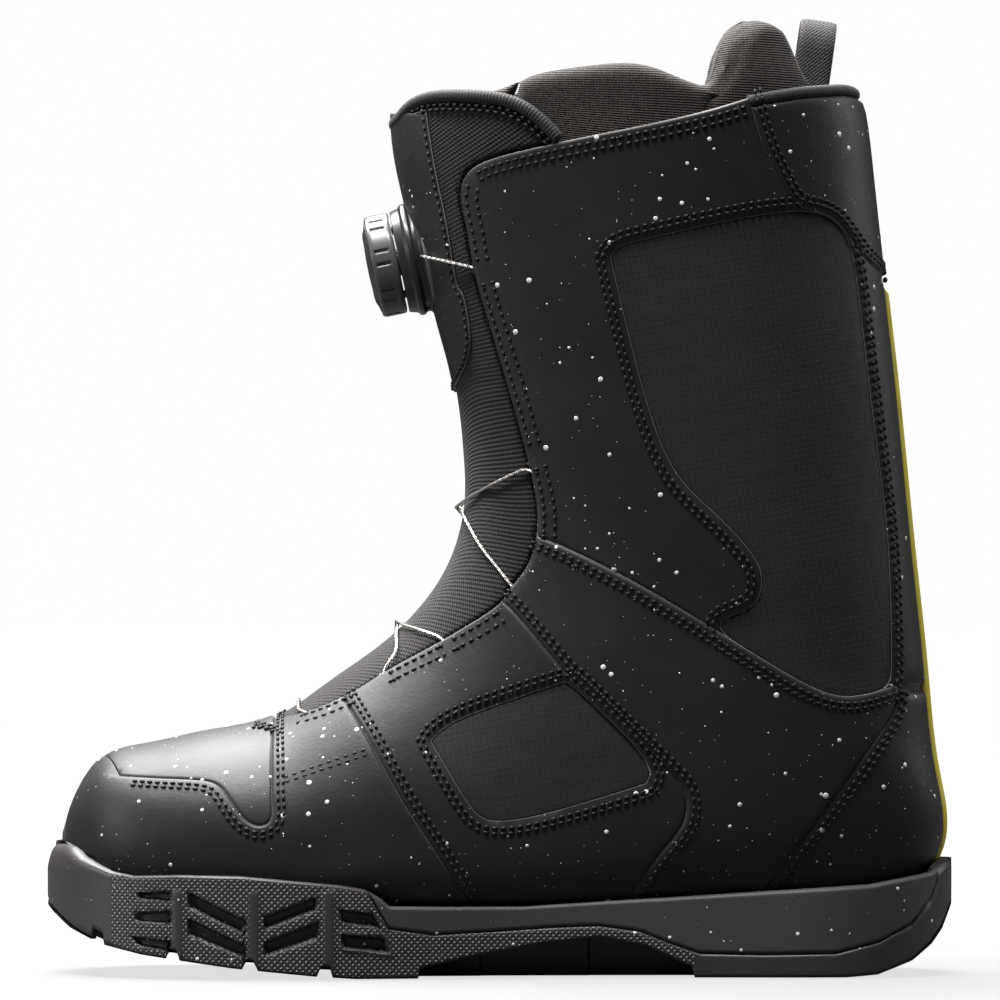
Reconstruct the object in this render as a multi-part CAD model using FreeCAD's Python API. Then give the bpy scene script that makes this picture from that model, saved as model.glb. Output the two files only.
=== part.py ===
import FreeCAD, Part
import math
import os

# Snowboard boot, left foot, sizes in mm. +X runs from toe to heel, +Y to the inner side of the leg, +Z up.
# The origin is on the floor, under the middle of the outsole.

V = FreeCAD.Vector
os.makedirs("parts", exist_ok=True)

# ---- driving sizes -------------------------------------------------------------------
BOOT_LENGTH = 310.0      # outsole, toe to heel
BOOT_WIDTH = 114.0       # outsole at the ball of the foot
BOOT_HEIGHT = 303.0      # floor to the top of the cuff at the back
UPPER_WIDTH = 105.0      # upper at the ball of the foot

OVERLAY = 1.5            # synthetic leather panels
RIPSTOP = 0.8            # woven windows, set below the panels' face
LINING = 2.5             # lined foam layer under the panels
BOARD = 1.8              # lasting board
LAYER_GAP = 0.05         # between stacked layers
LINER_INSET = 6.4        # outside of the inner boot, below the outer face
SHIELD = 1.0             # smooth facing on the front of the tongue
TONGUE_INSET = 5.8       # inner face of the outer tongue
TONGUE_GAP = 0.6         # tongue edge to cuff edge
BINDING_PROUD = 0.6      # corded edges stand above the panels
EDGE_TAPE = 4.5          # height of the corded edges

TREAD_DEPTH = 3.2
TREAD_GROOVE = 4.0
WINDOW_DEPTH = 2.0       # sidewall pockets
ARCH_DEPTH = 16.0        # how far the arch recess runs in from each side
SHANK = 1.4

DIAL_TILT = 11.5         # degrees, the dial faces forwards and a little down
DIAL_CENTRE_X = -39.8
DIAL_CENTRE_Z = 241.4
KNOB_R = 17.5
KNOB_H = 8.8
KNOB_DOME = 1.8
KNOB_WALL = 1.6
GRIP = 1.3
GRIP_SLOTS = 24
GRIP_SLOT_W = 1.1
HOUSING_R = 19.4
HOUSING_H = 10.5
KNOB_GAP = 0.4
SPOOL_R = 11.3
SPOOL_CORE_R = 6.4
SPOOL_H = 5.0
RATCHET_R = 15.2
RATCHET_TIP_R = 12.9
RATCHET_H = 1.9
RATCHET_TEETH = 24
PAWL_ARMS = 4
DIAL_POP = 2.5           # travel of the knob between locked and released
SHAFT_R = 1.9
RUNNING = 0.05           # radial clearance on the dial's shaft

LACE_R = 0.5
GUIDE_R = 1.2            # outside of the sewn-in lace tubes
GUIDE_BORE = 0.6
GUIDE_INSET = 1.75       # the tubes run under the panels
TUBE_SWING = 0.8         # the tongue clears the tubes' mouths
LACE_PROUD = 0.75        # the lace lies on the tongue
LACE_OVER = 2.0          # the upper strand where two cross
LACE_BEND = 6.0          # radius of the lace's bends

LOOP_WIDTH = 12.4
LOOP_THICK = 2.0
LOOP_SPAN = 22.0

LENGTH_K = BOOT_LENGTH / 310.0
HEIGHT_K = BOOT_HEIGHT / 303.0
SOLE_K = BOOT_WIDTH / 114.0
UPPER_K = UPPER_WIDTH / 105.0


def at(x, z, y=0.0):
    """Point of the boot, stretched to the driving length and height."""
    return V(x * LENGTH_K, y, z * HEIGHT_K)


# ---- the outer form ------------------------------------------------------------------
# Sections standing across the foot, fanned round the ankle and level up the leg:
# front x, z, back x, z, half width, sideways shift, widest point, roundness front, back
OUTER = [
    (-148.6, 50, -148.6, 39, 9, 8.0, 0.55, 2.0, 2.0),
    (-146.4, 57, -146.4, 35.5, 18.5, 7.5, 0.57, 2.2, 2.2),
    (-142, 66, -142, 32.5, 27.5, 7.0, 0.60, 2.3, 2.6),
    (-135.5, 73.5, -135.5, 30, 35.5, 6.0, 0.62, 2.3, 3.2),
    (-121, 78, -121, 27, 45, 5.0, 0.64, 2.2, 3.8),
    (-100, 82.5, -100, 25, 50.5, 3.5, 0.66, 2.1, 4.0),
    (-78, 87.5, -77, 23, 52.5, 2.0, 0.68, 2.0, 4.2),
    (-61, 98.5, -55, 21.5, 51.5, 0.5, 0.70, 2.0, 4.2),
    (-42, 112, -28, 20, 49.5, -0.5, 0.70, 2.0, 4.0),
    (-27, 126.5, 5, 18.5, 47, -1.0, 0.68, 2.0, 3.8),
    (-17.5, 142, 42, 18, 45, -1.0, 0.62, 2.1, 3.6),
    (-13, 160, 84, 18.5, 44, -1.0, 0.55, 2.2, 3.2),
    (-13.2, 176, 128, 21, 43.5, -1.0, 0.52, 2.3, 2.7),
    (-14.5, 190, 151, 42, 44, -1.0, 0.50, 2.3, 2.4),
    (-17, 205, 149.6, 70, 45.5, -1.0, 0.50, 2.3, 2.2),
    (-21, 220, 145.8, 104, 47, -1.0, 0.50, 2.3, 2.2),
    (-25, 235, 142, 140, 48.5, -1.0, 0.50, 2.3, 2.2),
    (-29.5, 250, 138.5, 175, 50, -1.0, 0.50, 2.3, 2.2),
    (-33, 264, 135, 209, 51.5, -1.0, 0.50, 2.3, 2.2),
    (-36, 278, 131, 243, 53, -1.0, 0.50, 2.3, 2.2),
    (-37.3, 291, 127.5, 275, 54.5, -1.0, 0.50, 2.3, 2.2),
    (-36.5, 303, 123.5, 300, 55.5, -1.0, 0.50, 2.3, 2.2),
    (-33, 318, 116.5, 317, 55.5, -1.0, 0.50, 2.3, 2.2),
    (-28, 334, 111, 334, 55, -1.0, 0.50, 2.3, 2.2),
    (-24, 350, 106, 350, 54.5, -1.0, 0.50, 2.3, 2.2),
]
# The foot and leg inside the inner boot, same layout.
FOOT = [
    (-133, 56, -133, 45, 9, 7.0, 0.55, 2.0, 2.0),
    (-129, 61.5, -129, 42, 19, 6.5, 0.55, 2.0, 2.2),
    (-118, 66, -118, 39, 29, 5.0, 0.58, 2.0, 2.6),
    (-98, 70, -98, 36, 36.5, 3.5, 0.60, 2.0, 2.8),
    (-76, 75, -75, 34, 38.5, 2.0, 0.62, 2.0, 2.8),
    (-56, 83, -50, 32.5, 37.5, 0.5, 0.62, 2.0, 2.8),
    (-36, 96, -22, 31, 35.5, -0.5, 0.62, 2.0, 2.8),
    (-18, 112, 10, 30, 33, -1.0, 0.62, 2.0, 2.8),
    (-5, 130, 46, 29.5, 31, -1.0, 0.58, 2.0, 2.8),
    (2.5, 149, 84, 30, 30, -1.0, 0.54, 2.1, 2.7),
    (2.5, 170, 112, 37, 30, -1.0, 0.52, 2.1, 2.4),
    (1.5, 190, 131, 60, 30.5, -1.0, 0.50, 2.1, 2.2),
    (-1.5, 205, 132, 90, 32, -1.0, 0.50, 2.1, 2.1),
    (-5.5, 220, 127, 120, 33.5, -1.0, 0.50, 2.1, 2.1),
    (-9.5, 235, 123, 150, 35, -1.0, 0.50, 2.1, 2.1),
    (-14, 250, 120, 182, 36.5, -1.0, 0.50, 2.1, 2.1),
    (-17.5, 266, 116, 214, 38, -1.0, 0.50, 2.1, 2.1),
    (-20, 282, 110, 246, 39.5, -1.0, 0.50, 2.1, 2.1),
    (-21, 297, 101, 278, 41, -1.0, 0.50, 2.1, 2.1),
    (-19, 318, 89, 308, 41.5, -1.0, 0.50, 2.1, 2.1),
    (-14, 334, 83, 334, 41, -1.0, 0.50, 2.1, 2.1),
    (-10, 350, 78, 350, 40.5, -1.0, 0.50, 2.1, 2.1),
]
AROUND = 28              # points round each section
FINE = 240


def section(station):
    fx, fz, bx, bz, half, shift, widest, round_front, round_back = station
    front = at(fx, fz)
    back = at(bx, bz)
    along = back - front
    depth = along.Length
    along.normalize()
    half = half * UPPER_K
    outline = []
    for k in range(FINE + 1):
        angle = math.pi * k / FINE
        c = math.cos(angle)
        power = 2.0 / (round_front if c >= 0 else round_back)
        reach = depth * (widest if c >= 0 else 1.0 - widest)
        outline.append((-math.copysign(abs(c) ** power, c) * reach, half * math.sin(angle) ** power))
    run = [0.0]
    for a, b in zip(outline, outline[1:]):
        run.append(run[-1] + math.hypot(b[0] - a[0], b[1] - a[1]))
    picked = []
    j = 0
    for k in range(AROUND // 2 + 1):
        target = run[-1] * k / (AROUND // 2)
        while j < FINE - 1 and run[j + 1] < target:
            j += 1
        part = (target - run[j]) / (run[j + 1] - run[j])
        a, b = outline[j], outline[j + 1]
        picked.append((a[0] + part * (b[0] - a[0]), a[1] + part * (b[1] - a[1])))
    centre = front + along * (depth * widest) + V(0, shift * UPPER_K, 0)
    ring = [centre + along * u + V(0, -y, 0) for u, y in picked]
    ring += [centre + along * u + V(0, y, 0) for u, y in reversed(picked[1:-1])]
    return ring


def sunk(rings, inset):
    """Move every point of the form inwards along its own normal."""
    out = []
    last = len(rings) - 1
    for i, ring in enumerate(rings):
        middle = V(0, 0, 0)
        for p in ring:
            middle = middle + p
        middle = middle * (1.0 / AROUND)
        moved = []
        for k, p in enumerate(ring):
            round_way = ring[(k + 1) % AROUND] - ring[k - 1]
            long_way = rings[min(i + 1, last)][k] - rings[max(i - 1, 0)][k]
            normal = round_way.cross(long_way)
            normal.normalize()
            if normal.dot(p - middle) < 0:
                normal = normal * -1.0
            moved.append(p - normal * inset)
        out.append(moved)
    level = sum(p.x for p in out[0]) / AROUND
    out[0] = [V(level, p.y, p.z) for p in out[0]]
    level = sum(p.z for p in out[last]) / AROUND
    out[last] = [V(p.x, p.y, level) for p in out[last]]
    return out


def skin(rings):
    """Closed solid through the rings: one smooth face and two flat ends."""
    curves = []
    for ring in rings:
        curve = Part.BSplineCurve()
        curve.interpolate(Points=ring, PeriodicFlag=True, Parameters=[k / AROUND for k in range(AROUND + 1)])
        curves.append(curve)
    rows = [curve.getPoles() for curve in curves]
    step = [0.0]
    for a, b in zip(rings, rings[1:]):
        step.append(step[-1] + sum((q - p).Length for p, q in zip(a, b)) / AROUND)
    step = [s / step[-1] for s in step]
    columns = []
    for k in range(len(rows[0])):
        column = Part.BSplineCurve()
        column.interpolate(Points=[row[k] for row in rows], Parameters=step)
        columns.append(column)
    poles = [column.getPoles() for column in columns]
    surface = Part.BSplineSurface()
    surface.buildFromPolesMultsKnots(
        poles,
        curves[0].getMultiplicities(), columns[0].getMultiplicities(),
        curves[0].getKnots(), columns[0].getKnots(),
        True, False, curves[0].Degree, columns[0].Degree)
    side = surface.toShape()
    closed = [edge for edge in side.Edges if edge.isClosed()]
    ends = [Part.Face(Part.Wire([edge])) for edge in closed]
    solid = Part.makeSolid(Part.makeShell([side] + ends))
    solid.fix(1e-3, 1e-3, 1e-3)
    if solid.Volume < 0:
        solid.reverse()
    return solid


outer_rings = [section(s) for s in OUTER]
foot_rings = [section(s) for s in FOOT]
forms = {}


def form(inset):
    if inset not in forms:
        forms[inset] = skin(sunk(outer_rings, inset))
    return forms[inset]


def layer(top, bottom):
    return form(top).cut(form(bottom))



# ---- regions seen from the side ------------------------------------------------------
FAR = 90.0               # beyond the boot on either side


def side_prism(outline, y0=-FAR, y1=FAR):
    """Block with the given outline in side view."""
    points = [at(x, z, y0) for x, z in outline]
    return Part.Face(Part.makePolygon(points + [points[0]])).extrude(V(0, y1 - y0, 0))


def biggest(shape):
    """Booleans return compounds: keep the solid, drop slivers."""
    solids = sorted(shape.Solids, key=lambda s: s.Volume)
    return solids[-1]


def both(name, layered, outline, cutters=()):
    """The same panel on the outer and the inner side of the boot."""
    for side, y0, y1 in (("lateral", -FAR, 0.0), ("medial", 0.0, FAR)):
        piece = layered.common(side_prism(outline, y0, y1))
        for cutter in cutters:
            piece = piece.cut(cutter)
        save(name + "_" + side, biggest(piece))


made = {}


def save(node, shape):
    made[node] = shape


# Front edge of the cuff and quarters, from the top of the collar down to the throat.
CUFF_EDGE = [
    (84, 296.5), (70, 292), (48, 287), (24.5, 282.5), (1.5, 277.5), (-8, 274.3), (-12, 270.5), (-13.5, 266),
    (-13, 260), (-10.8, 250), (-9.3, 240), (-6.5, 229.5), (-0.5, 210), (6.3, 186.5), (11.5, 166.5), (13, 156),
    (12.2, 146.5), (10, 139.5), (6.5, 134.8), (3, 130.5), (0, 125.5), (-19, 114), (-40, 102.8), (-48, 97.2),
    (-64, 89.5), (-77.3, 86.6),
]
COLLAR_TOP = [(124.5, 300.5), (119.5, 303), (111, 302), (100, 300.7), (87, 298.5)]
SHELL_SIDE = COLLAR_TOP + CUFF_EDGE + [(-77.9, 87.5)] + [(-78.2, 110), (-175, 110), (-175, -10), (175, -10), (175, 302)]
SOLE_TOP = [
    (-150.5, 44.5), (-148, 43.5), (-143, 40.3), (-131.5, 35.7), (-124, 34.3), (-108, 34.8), (-87, 34.5),
    (-70, 33), (-54, 31.5), (-45, 30), (-40, 27), (-37, 24.3), (-19, 24), (8.5, 24), (41, 26), (56, 26.8),
    (91, 29), (125.5, 31), (147.5, 34.8), (153.5, 39),
]
STRAP_TOP = [(12.8, 148.5), (21, 145), (43, 133.8), (67, 119.8), (93.5, 103), (103.5, 97.3), (112.5, 93.5), (121, 92.8), (136, 97)]
STRAP_LOW = [(1, 127.1), (4.8, 123.9), (22.5, 102.5), (25.2, 101.2), (58.5, 68.2), (62.5, 64), (63.7, 58), (62, 50.5), (51.5, 38.7), (40, 24)]
HEEL_EDGE = [(136, 97), (133.5, 88.3), (125.5, 77.7), (117, 65.7), (108, 53.5), (99.5, 42.8), (88, 24)]
RAND_EDGE = [
    (-175, 74), (-141, 72.2), (-138, 69.2), (-129, 67.7), (-115, 67.1), (-99, 66.7), (-94, 64.7), (-90.7, 60),
    (-86.6, 54), (-82, 51.2), (-78, 51.8), (-77.3, 55),
]
SEAM = [(-53, 95), (-44, 80.4), (-39.7, 72.2), (-32, 58.5), (-23.5, 45.8), (-15, 32.5), (-9, 22)]
UPPER_WINDOW = [
    (37.5, 243), (40, 246.7), (54, 250), (82, 256.3), (102, 259), (111.5, 257.6), (117.5, 252.5), (121, 242.6),
    (124, 218), (126.6, 195.7), (130, 170.4), (133, 148.5), (133.8, 129.3), (134.2, 104), (133, 98.6),
    (129, 96.4), (121, 94.8), (113, 95.4), (104.5, 99), (94, 105), (71.5, 118.9), (84, 124.2), (87.3, 126.8),
    (89, 132.8), (88, 139.6), (82, 147.5), (75, 154.7), (62.6, 166), (55.8, 176.6), (49.6, 194), (42.8, 220),
]
LOWER_WINDOW = [
    (-23, 80), (-20, 83.5), (-12, 88.3), (20.5, 99.4), (24, 100), (56.5, 67.8), (38.3, 61.9), (21, 56.8),
    (8.6, 53.7), (-1.7, 52.7), (-6.5, 54.4), (-10.3, 58.5),
]
SHIELD_EDGE = [(-26, 303), (-25, 291.5), (-22.2, 273.5), (-17.8, 253.5), (-15.1, 234), (-12.5, 231), (-10, 217), (-10.5, 210), (-15, 200.5), (-18, 196)]
REAR_COLLAR = [(84, 297.9), (87.6, 284.3), (92, 274), (98, 262.8), (102, 260.2), (108, 259.3), (114, 257), (119.5, 250.5), (124.5, 243.3), (130.5, 238.5), (175, 234)]
TONGUE_TOP = [(-45, 289), (-36.5, 289.5), (-34.5, 295), (-30, 298.6), (-23.6, 300.5), (0.5, 299), (8, 295.6), (14, 291.2), (21, 283.2)]

# ---- sole ----------------------------------------------------------------------------
LATERAL_PLAN = [
    (-150.5, -14), (-141, -30), (-122, -45), (-97, -54.5), (-70, -57), (-42, -54.5), (-12, -49), (28, -45),
    (68, -44.5), (100, -45), (124, -42), (141, -32), (151, -16),
]
MEDIAL_PLAN = [
    (151, 16), (141, 31), (124, 41), (100, 44), (68, 43), (28, 43), (-12, 47), (-42, 52), (-70, 55.5),
    (-97, 57), (-122, 51), (-141, 40.5), (-150.5, 27),
]
SOLE_BOTTOM = [
    (158, 36), (158, 31), (155, 24), (153.5, 21), (151, 15.5), (147, 10.5), (140, 5.2), (128, 0.8), (118, 0), (-48, 0), (-62, 0.9),
    (-90, 3.6), (-121, 7.8), (-135, 11), (-146, 16), (-152.3, 20.9), (-158, 26), (-158, 36), (-153, 41.4),
]
FOXING = [
    (-160, 60), (-44, 60), (-44, 29), (-37, 17), (-22, 14.8), (0, 15.9), (20, 17.2), (34, 17.6), (48, 15.6), (58, 11.6),
    (68, 8.2), (90, 7.8), (114, 8.2), (129, 12), (140, 18), (147, 27), (149.5, 34), (150, 60), (165, 60), (165, -5), (-160, -5),
]
ARCH = [(-27, 3.2), (-8, 7.4), (14, 11.3), (34, 13.6), (50, 10.5), (66, 3.2)]


def plan_prism(inset, z0, z1):
    """Outline of the sole from above, moved in by inset."""
    shrink_x = 1.0 - inset / 155.0
    shrink_y = 1.0 - inset / 55.0
    points = [(-154.8, 7)] + LATERAL_PLAN + [(154.8, 0)] + MEDIAL_PLAN
    ring = [at(x * shrink_x, z0, y * shrink_y * SOLE_K) for x, y in points]
    curve = Part.BSplineCurve()
    curve.interpolate(Points=ring, PeriodicFlag=True)
    return Part.Face(Part.Wire([curve.toShape()])).extrude(at(0, z1 - z0))


sole_block = plan_prism(0, -5, 55).common(side_prism(SOLE_TOP + SOLE_BOTTOM))
sole_block = sole_block.cut(form(-0.05))
outsole = sole_block.common(side_prism(FOXING))
outsole = outsole.cut(form(1.0))
midsole = biggest(sole_block.cut(side_prism(FOXING)))
side_ring = plan_prism(-3, -5, 55).cut(plan_prism(ARCH_DEPTH, -5, 55))
shank_prism = side_prism([(-30, 12.2 - SHANK), (70, 12.2 - SHANK), (70, 12.2), (-30, 12.2)], -22, 22)
arch_cut = side_prism(ARCH + [(66, -5), (-27, -5)]).common(side_ring)
outsole = biggest(outsole.cut(arch_cut))
midsole = biggest(midsole.cut(arch_cut))
# tread: cross grooves with a rib left along the middle of the foot; those under the sidewall's ribs run out to its edge
OPEN_GROOVES = [-136.0, -110.3, -84.0, -58.5]
CLOSED_GROOVES = [-123.0, -97.0, -71.0, 71.0, 87.0, 103.0, 119.0, -35.0]
for x in OPEN_GROOVES + CLOSED_GROOVES:
    z = max(8.5 - 0.12 * (x + 120), 0.0) if x < -55 else 0.0
    reach = FAR if x in OPEN_GROOVES else 30.0
    top = z + TREAD_DEPTH
    groove = [(x - TREAD_GROOVE / 2, -6), (x + TREAD_GROOVE / 2, -6), (x + TREAD_GROOVE / 2, top), (x - TREAD_GROOVE / 2, top)]
    for y0, y1 in ((-reach, -6), (6, reach)):
        outsole = outsole.cut(side_prism(groove, y0, y1))
# sidewall pockets in chevron order, in the bays between the ribs
pocket_ring = plan_prism(-3, -5, 55).cut(plan_prism(WINDOW_DEPTH, -5, 55))
POCKETS = [
    [(-122, 27), (-111, 26), (-111, 29.2), (-122, 28.6)], [(-123, 19.3), (-111, 18.5), (-111, 22.7), (-122.3, 21.9)],
    [(-122, 11), (-111, 9), (-111, 12.5), (-124, 13.8)], [(-104.6, 24), (-85.4, 15), (-85.4, 19.6), (-104.6, 29)],
    [(-104.6, 14.6), (-85.4, 7.2), (-85.4, 11.2), (-104.6, 20.2)], [(-79, 16.8), (-61.4, 23.4), (-61.4, 27.5), (-79, 20.9)],
    [(-78.6, 8), (-60.6, 13.8), (-61, 19), (-79, 12.4)], [(-53, 19.2), (-40, 17.2), (-42.4, 21.8), (-53.2, 23.4)],
    [(-52, 10.8), (-37.5, 9), (-39, 13.8), (-52.7, 14.8)],
]
for outline in POCKETS:
    outsole = outsole.cut(side_prism(outline).common(pocket_ring))
shank = shank_prism.common(side_prism(SOLE_TOP + SOLE_BOTTOM))
outsole = biggest(outsole.cut(shank))
midsole = biggest(midsole.cut(shank))
save("outsole", outsole)
save("midsole", midsole)
save("shank", biggest(shank))
print("sole done")

# ---- panels over the lining ----------------------------------------------------------
overlay = layer(0.0, OVERLAY)
behind_tongue = side_prism(SHELL_SIDE)
backstay_block = side_prism([(100, 24), (175, 24), (175, 235.5), (100, 235.5)], -9, 9)
collar_above = side_prism([(x, z - EDGE_TAPE) for x, z in COLLAR_TOP] + [(84.2, 298.5 - EDGE_TAPE), (84.2, 330), (175, 330), (175, 296)])
below_sole = side_prism([(x, z - 6) for x, z in SOLE_TOP] + [(175, 33), (175, -10), (-175, -10), (-175, 38.5)])

overlay = overlay.common(behind_tongue)
overlay = overlay.cut(below_sole)
rand_block = side_prism(RAND_EDGE + [(-77.3, 20), (-175, 20)])
save("toe_rand", biggest(overlay.common(rand_block)))
toe_box_block = side_prism(RAND_EDGE + [(-77.3, 110), (-175, 110)])
save("toe_box", biggest(overlay.common(toe_box_block)))
wing = [(-77.3, 110), (-53, 110)] + SEAM + [(-77.3, 22)]
both("vamp", overlay, wing)
quarter = [(-53, 110)] + SEAM + [(40, 24)] + STRAP_LOW[::-1][1:] + [(-2, 130)]
lower_block = side_prism(LOWER_WINDOW)
both("quarter", overlay, quarter, [lower_block])
strap = STRAP_TOP + HEEL_EDGE[1:] + [(40, 24)] + STRAP_LOW[::-1][1:]
both("strap", overlay, strap, [backstay_block])
both("heel_counter", overlay, HEEL_EDGE + [(175, 24), (175, 97)], [backstay_block])
cuff = [(-30, 148.5)] + STRAP_TOP + [(175, 97), (175, 310), (-30, 310)]
rear_block = side_prism(REAR_COLLAR + [(175, 330), (84, 330)])
upper_block = side_prism(UPPER_WINDOW)
both("cuff", overlay, cuff, [rear_block, upper_block, backstay_block, collar_above])
save("rear_collar", biggest(overlay.common(rear_block).cut(collar_above)))
save("backstay", biggest(overlay.common(backstay_block)))
collar_layer = layer(-BINDING_PROUD, LINING + OVERLAY + LAYER_GAP)
save("collar_binding", biggest(collar_layer.common(collar_above).common(behind_tongue)))
window_layer = layer(OVERLAY - RIPSTOP, OVERLAY)
both("window_upper", window_layer, UPPER_WINDOW)
both("window_lower", window_layer, LOWER_WINDOW)
print("panels done")

# ---- lined shell under the panels, lasting board, inner boot -------------------------
lining = layer(OVERLAY + LAYER_GAP, OVERLAY + LINING + LAYER_GAP).common(behind_tongue).cut(collar_above)
SPLIT = [(-30, 148.5)] + STRAP_TOP + [(175, 97)]
save("lining_foot", biggest(lining.cut(side_prism(SPLIT + [(175, 330), (-30, 330)]))))
save("lining_leg", biggest(lining.common(side_prism(SPLIT + [(175, 330), (-30, 330)]))))
BOARD_TOP = [(-160, 40), (-148, 38), (-135, 34), (-120, 31.5), (-100, 29.5), (-77, 27.8), (-55, 26.4), (-28, 25), (42, 23.5), (95, 24.2), (118, 27), (160, 33)]
board_block = side_prism(BOARD_TOP + [(160, 10), (-160, 10)])
board_layer = layer(OVERLAY + LINING + 2 * LAYER_GAP, OVERLAY + LINING + 2 * LAYER_GAP + BOARD)
save("lasting_board", biggest(board_layer.common(board_block)))

foot = skin(foot_rings)
LINER_TOP = [
    (-40, 292), (-22, 296), (-6, 299), (2, 301), (8, 304.5), (21, 306.5), (41, 309), (52, 308), (62, 304.5), (70, 302),
    (74, 302), (77, 307), (81, 316.5), (86, 322), (91, 325.3), (96, 326), (101.3, 324), (102, 319),
    (99.5, 301), (103, 288), (112, 268), (122, 250), (175, 235),
]
liner = form(LINER_INSET).cut(foot).common(side_prism(LINER_TOP + [(175, -10), (-175, -10), (-175, 292)]))
LINER_TONGUE = [
    (-45, 300), (5, 312), (2, 300), (-6, 285), (-15, 275), (-18, 266), (-17.5, 258), (-15, 248), (-13.5, 239),
    (-10.5, 228), (-4.5, 209), (1.5, 186), (6.5, 166.5), (7.5, 156), (6.5, 147), (4.5, 141), (0.5, 136), (-4.5, 130),
    (-22, 119), (-42, 107), (-62, 94), (-71, 86), (-76, 78), (-80, 79), (-90, 100),
]
LINER_SLOT = [(x + 1.0, z - 0.6) if z < 295 else (x + 1.0, z) for x, z in LINER_TONGUE[1:-2]]
# pull loop on the back of the inner boot
loop_r = LOOP_SPAN / 2.0
loop_top = 326.5 * HEIGHT_K
loop_base = 288.0 * HEIGHT_K


def loop_block(half_span, thin):
    arch = Part.makeCylinder(half_span, LOOP_WIDTH, V(0, 0, loop_top - loop_r), V(1, 0, 0))
    legs = Part.makeBox(LOOP_WIDTH, 2 * half_span, loop_top - loop_r - loop_base + thin, V(0, -half_span, loop_base - thin))
    return arch.fuse(legs)


loop = loop_block(loop_r, 0.0).cut(loop_block(loop_r - LOOP_THICK, 1.0)).removeSplitter()
loop.rotate(V(0, 0, 301 * HEIGHT_K), V(0, 1, 0), 8.0)
loop.translate(at(99.8, 0, -1.0))
save("pull_loop", biggest(loop))
loop_seat = loop.makeOffsetShape(LAYER_GAP, 1e-3)
liner = biggest(liner.cut(loop_seat))
PAD = [(114.5, 299), (119.5, 299.5), (140, 262), (119, 262), (112, 285)]
pad = layer(OVERLAY + LINING + 2 * LAYER_GAP, 12.0).common(side_prism(PAD)).cut(loop_seat)
save("collar_pad", biggest(pad))
liner_tongue = biggest(liner.common(side_prism(LINER_TONGUE)))
liner_slot = side_prism([(-45, 330), (6, 330)] + LINER_SLOT + [(-77.5, 74), (-82, 78), (-92, 100)])
save("liner_boot", biggest(liner.cut(liner_slot)))
save("liner_tongue", liner_tongue)
INSOLE_TOP = [(-140, 50), (-129, 47.5), (-118, 45), (-98, 42), (-76, 40), (-50, 38.5), (-22, 37), (46, 36), (90, 37), (112, 42), (125, 52)]
insole_form = skin(sunk(foot_rings, 0.3))
save("footbed", biggest(insole_form.common(side_prism(INSOLE_TOP + [(150, 20), (-150, 20)]))))
print("inner boot done")

# ---- tongue --------------------------------------------------------------------------
slack = [(x - TONGUE_GAP * 0.8, z + TONGUE_GAP * 0.8) for x, z in CUFF_EDGE[3:]]
tongue_outline = TONGUE_TOP[::-1] + [(-60, 289), (-110, 180), (-95, 100), (-78.0, 95)] + slack[::-1][:-1]
tongue_block = side_prism(tongue_outline)
tongue_body = layer(SHIELD + LAYER_GAP, TONGUE_INSET).common(tongue_block)
band = [(x, z - EDGE_TAPE) for x, z in TONGUE_TOP]
band_block = side_prism([(-60, 310), (40, 310), (40, 280)] + [(30, 276)] + band[::-1] + [(-60, 284)])
binding = biggest(layer(-BINDING_PROUD, TONGUE_INSET).common(tongue_block).common(band_block))
tongue_body = biggest(tongue_body.cut(band_block))
shield_block = side_prism([(-60, 303)] + SHIELD_EDGE + [(-30, 196), (-60, 196)])
shield = biggest(layer(0.0, SHIELD).common(tongue_block).common(shield_block).cut(band_block))
print("tongue done")

# ---- lace ----------------------------------------------------------------------------
def first_hit(start, end, out):
    """Where a line first meets the outer form, standing out by the given amount."""
    line = Part.LineSegment(start, end).toShape()
    points = [v.Point for v in line.common(form(-out)).Vertexes]
    return min(points, key=lambda p: (p - start).Length)


def from_side(x, z, out, side):
    return first_hit(at(x, z, side * FAR), at(x, z, 0), out)


def from_front(y, z, out):
    return first_hit(at(-200, z, y), at(90, z, y), out)


def from_above(x, y, out):
    return first_hit(at(x, 200, y), at(x, 40, y), out)


def soft_wire(points, bend):
    """Straight runs joined by arcs, as a list of edges: run, arc, run, arc ... run."""
    edges = []
    start = points[0]
    for a, b, c in zip(points, points[1:], points[2:]):
        into = a - b
        out = c - b
        room = 0.45 * min(into.Length, out.Length)
        into.normalize()
        out.normalize()
        half = into.getAngle(out) / 2.0
        reach = min(bend / math.tan(half), room)
        inward = into + out
        inward.normalize()
        centre = b + inward * (reach / math.cos(half))
        middle = centre - inward * (reach * math.tan(half))
        first = b + into * reach
        last = b + out * reach
        edges.append(Part.LineSegment(start, first).toShape())
        edges.append(Part.Arc(first, middle, last).toShape())
        start = last
    edges.append(Part.LineSegment(start, points[-1]).toShape())
    return edges


def rod(edges, radius):
    """Round bar along the edges."""
    start = edges[0].valueAt(edges[0].FirstParameter)
    heading = edges[0].tangentAt(edges[0].FirstParameter)
    circle = Part.Wire([Part.Circle(start, heading, radius).toShape()])
    return Part.Wire(edges).makePipeShell([circle], True, False)


tilt = math.radians(DIAL_TILT)
dial_axis = V(-math.cos(tilt), 0, -math.sin(tilt))
knob_base = HOUSING_H + KNOB_GAP
dial_seat = at(DIAL_CENTRE_X, DIAL_CENTRE_Z) - dial_axis * (knob_base + (KNOB_H + KNOB_DOME) / 2.0)
EXIT_HEIGHT = 2.6        # lace exits above the back of the dial housing
exit_level = dial_seat + dial_axis * EXIT_HEIGHT

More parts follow.
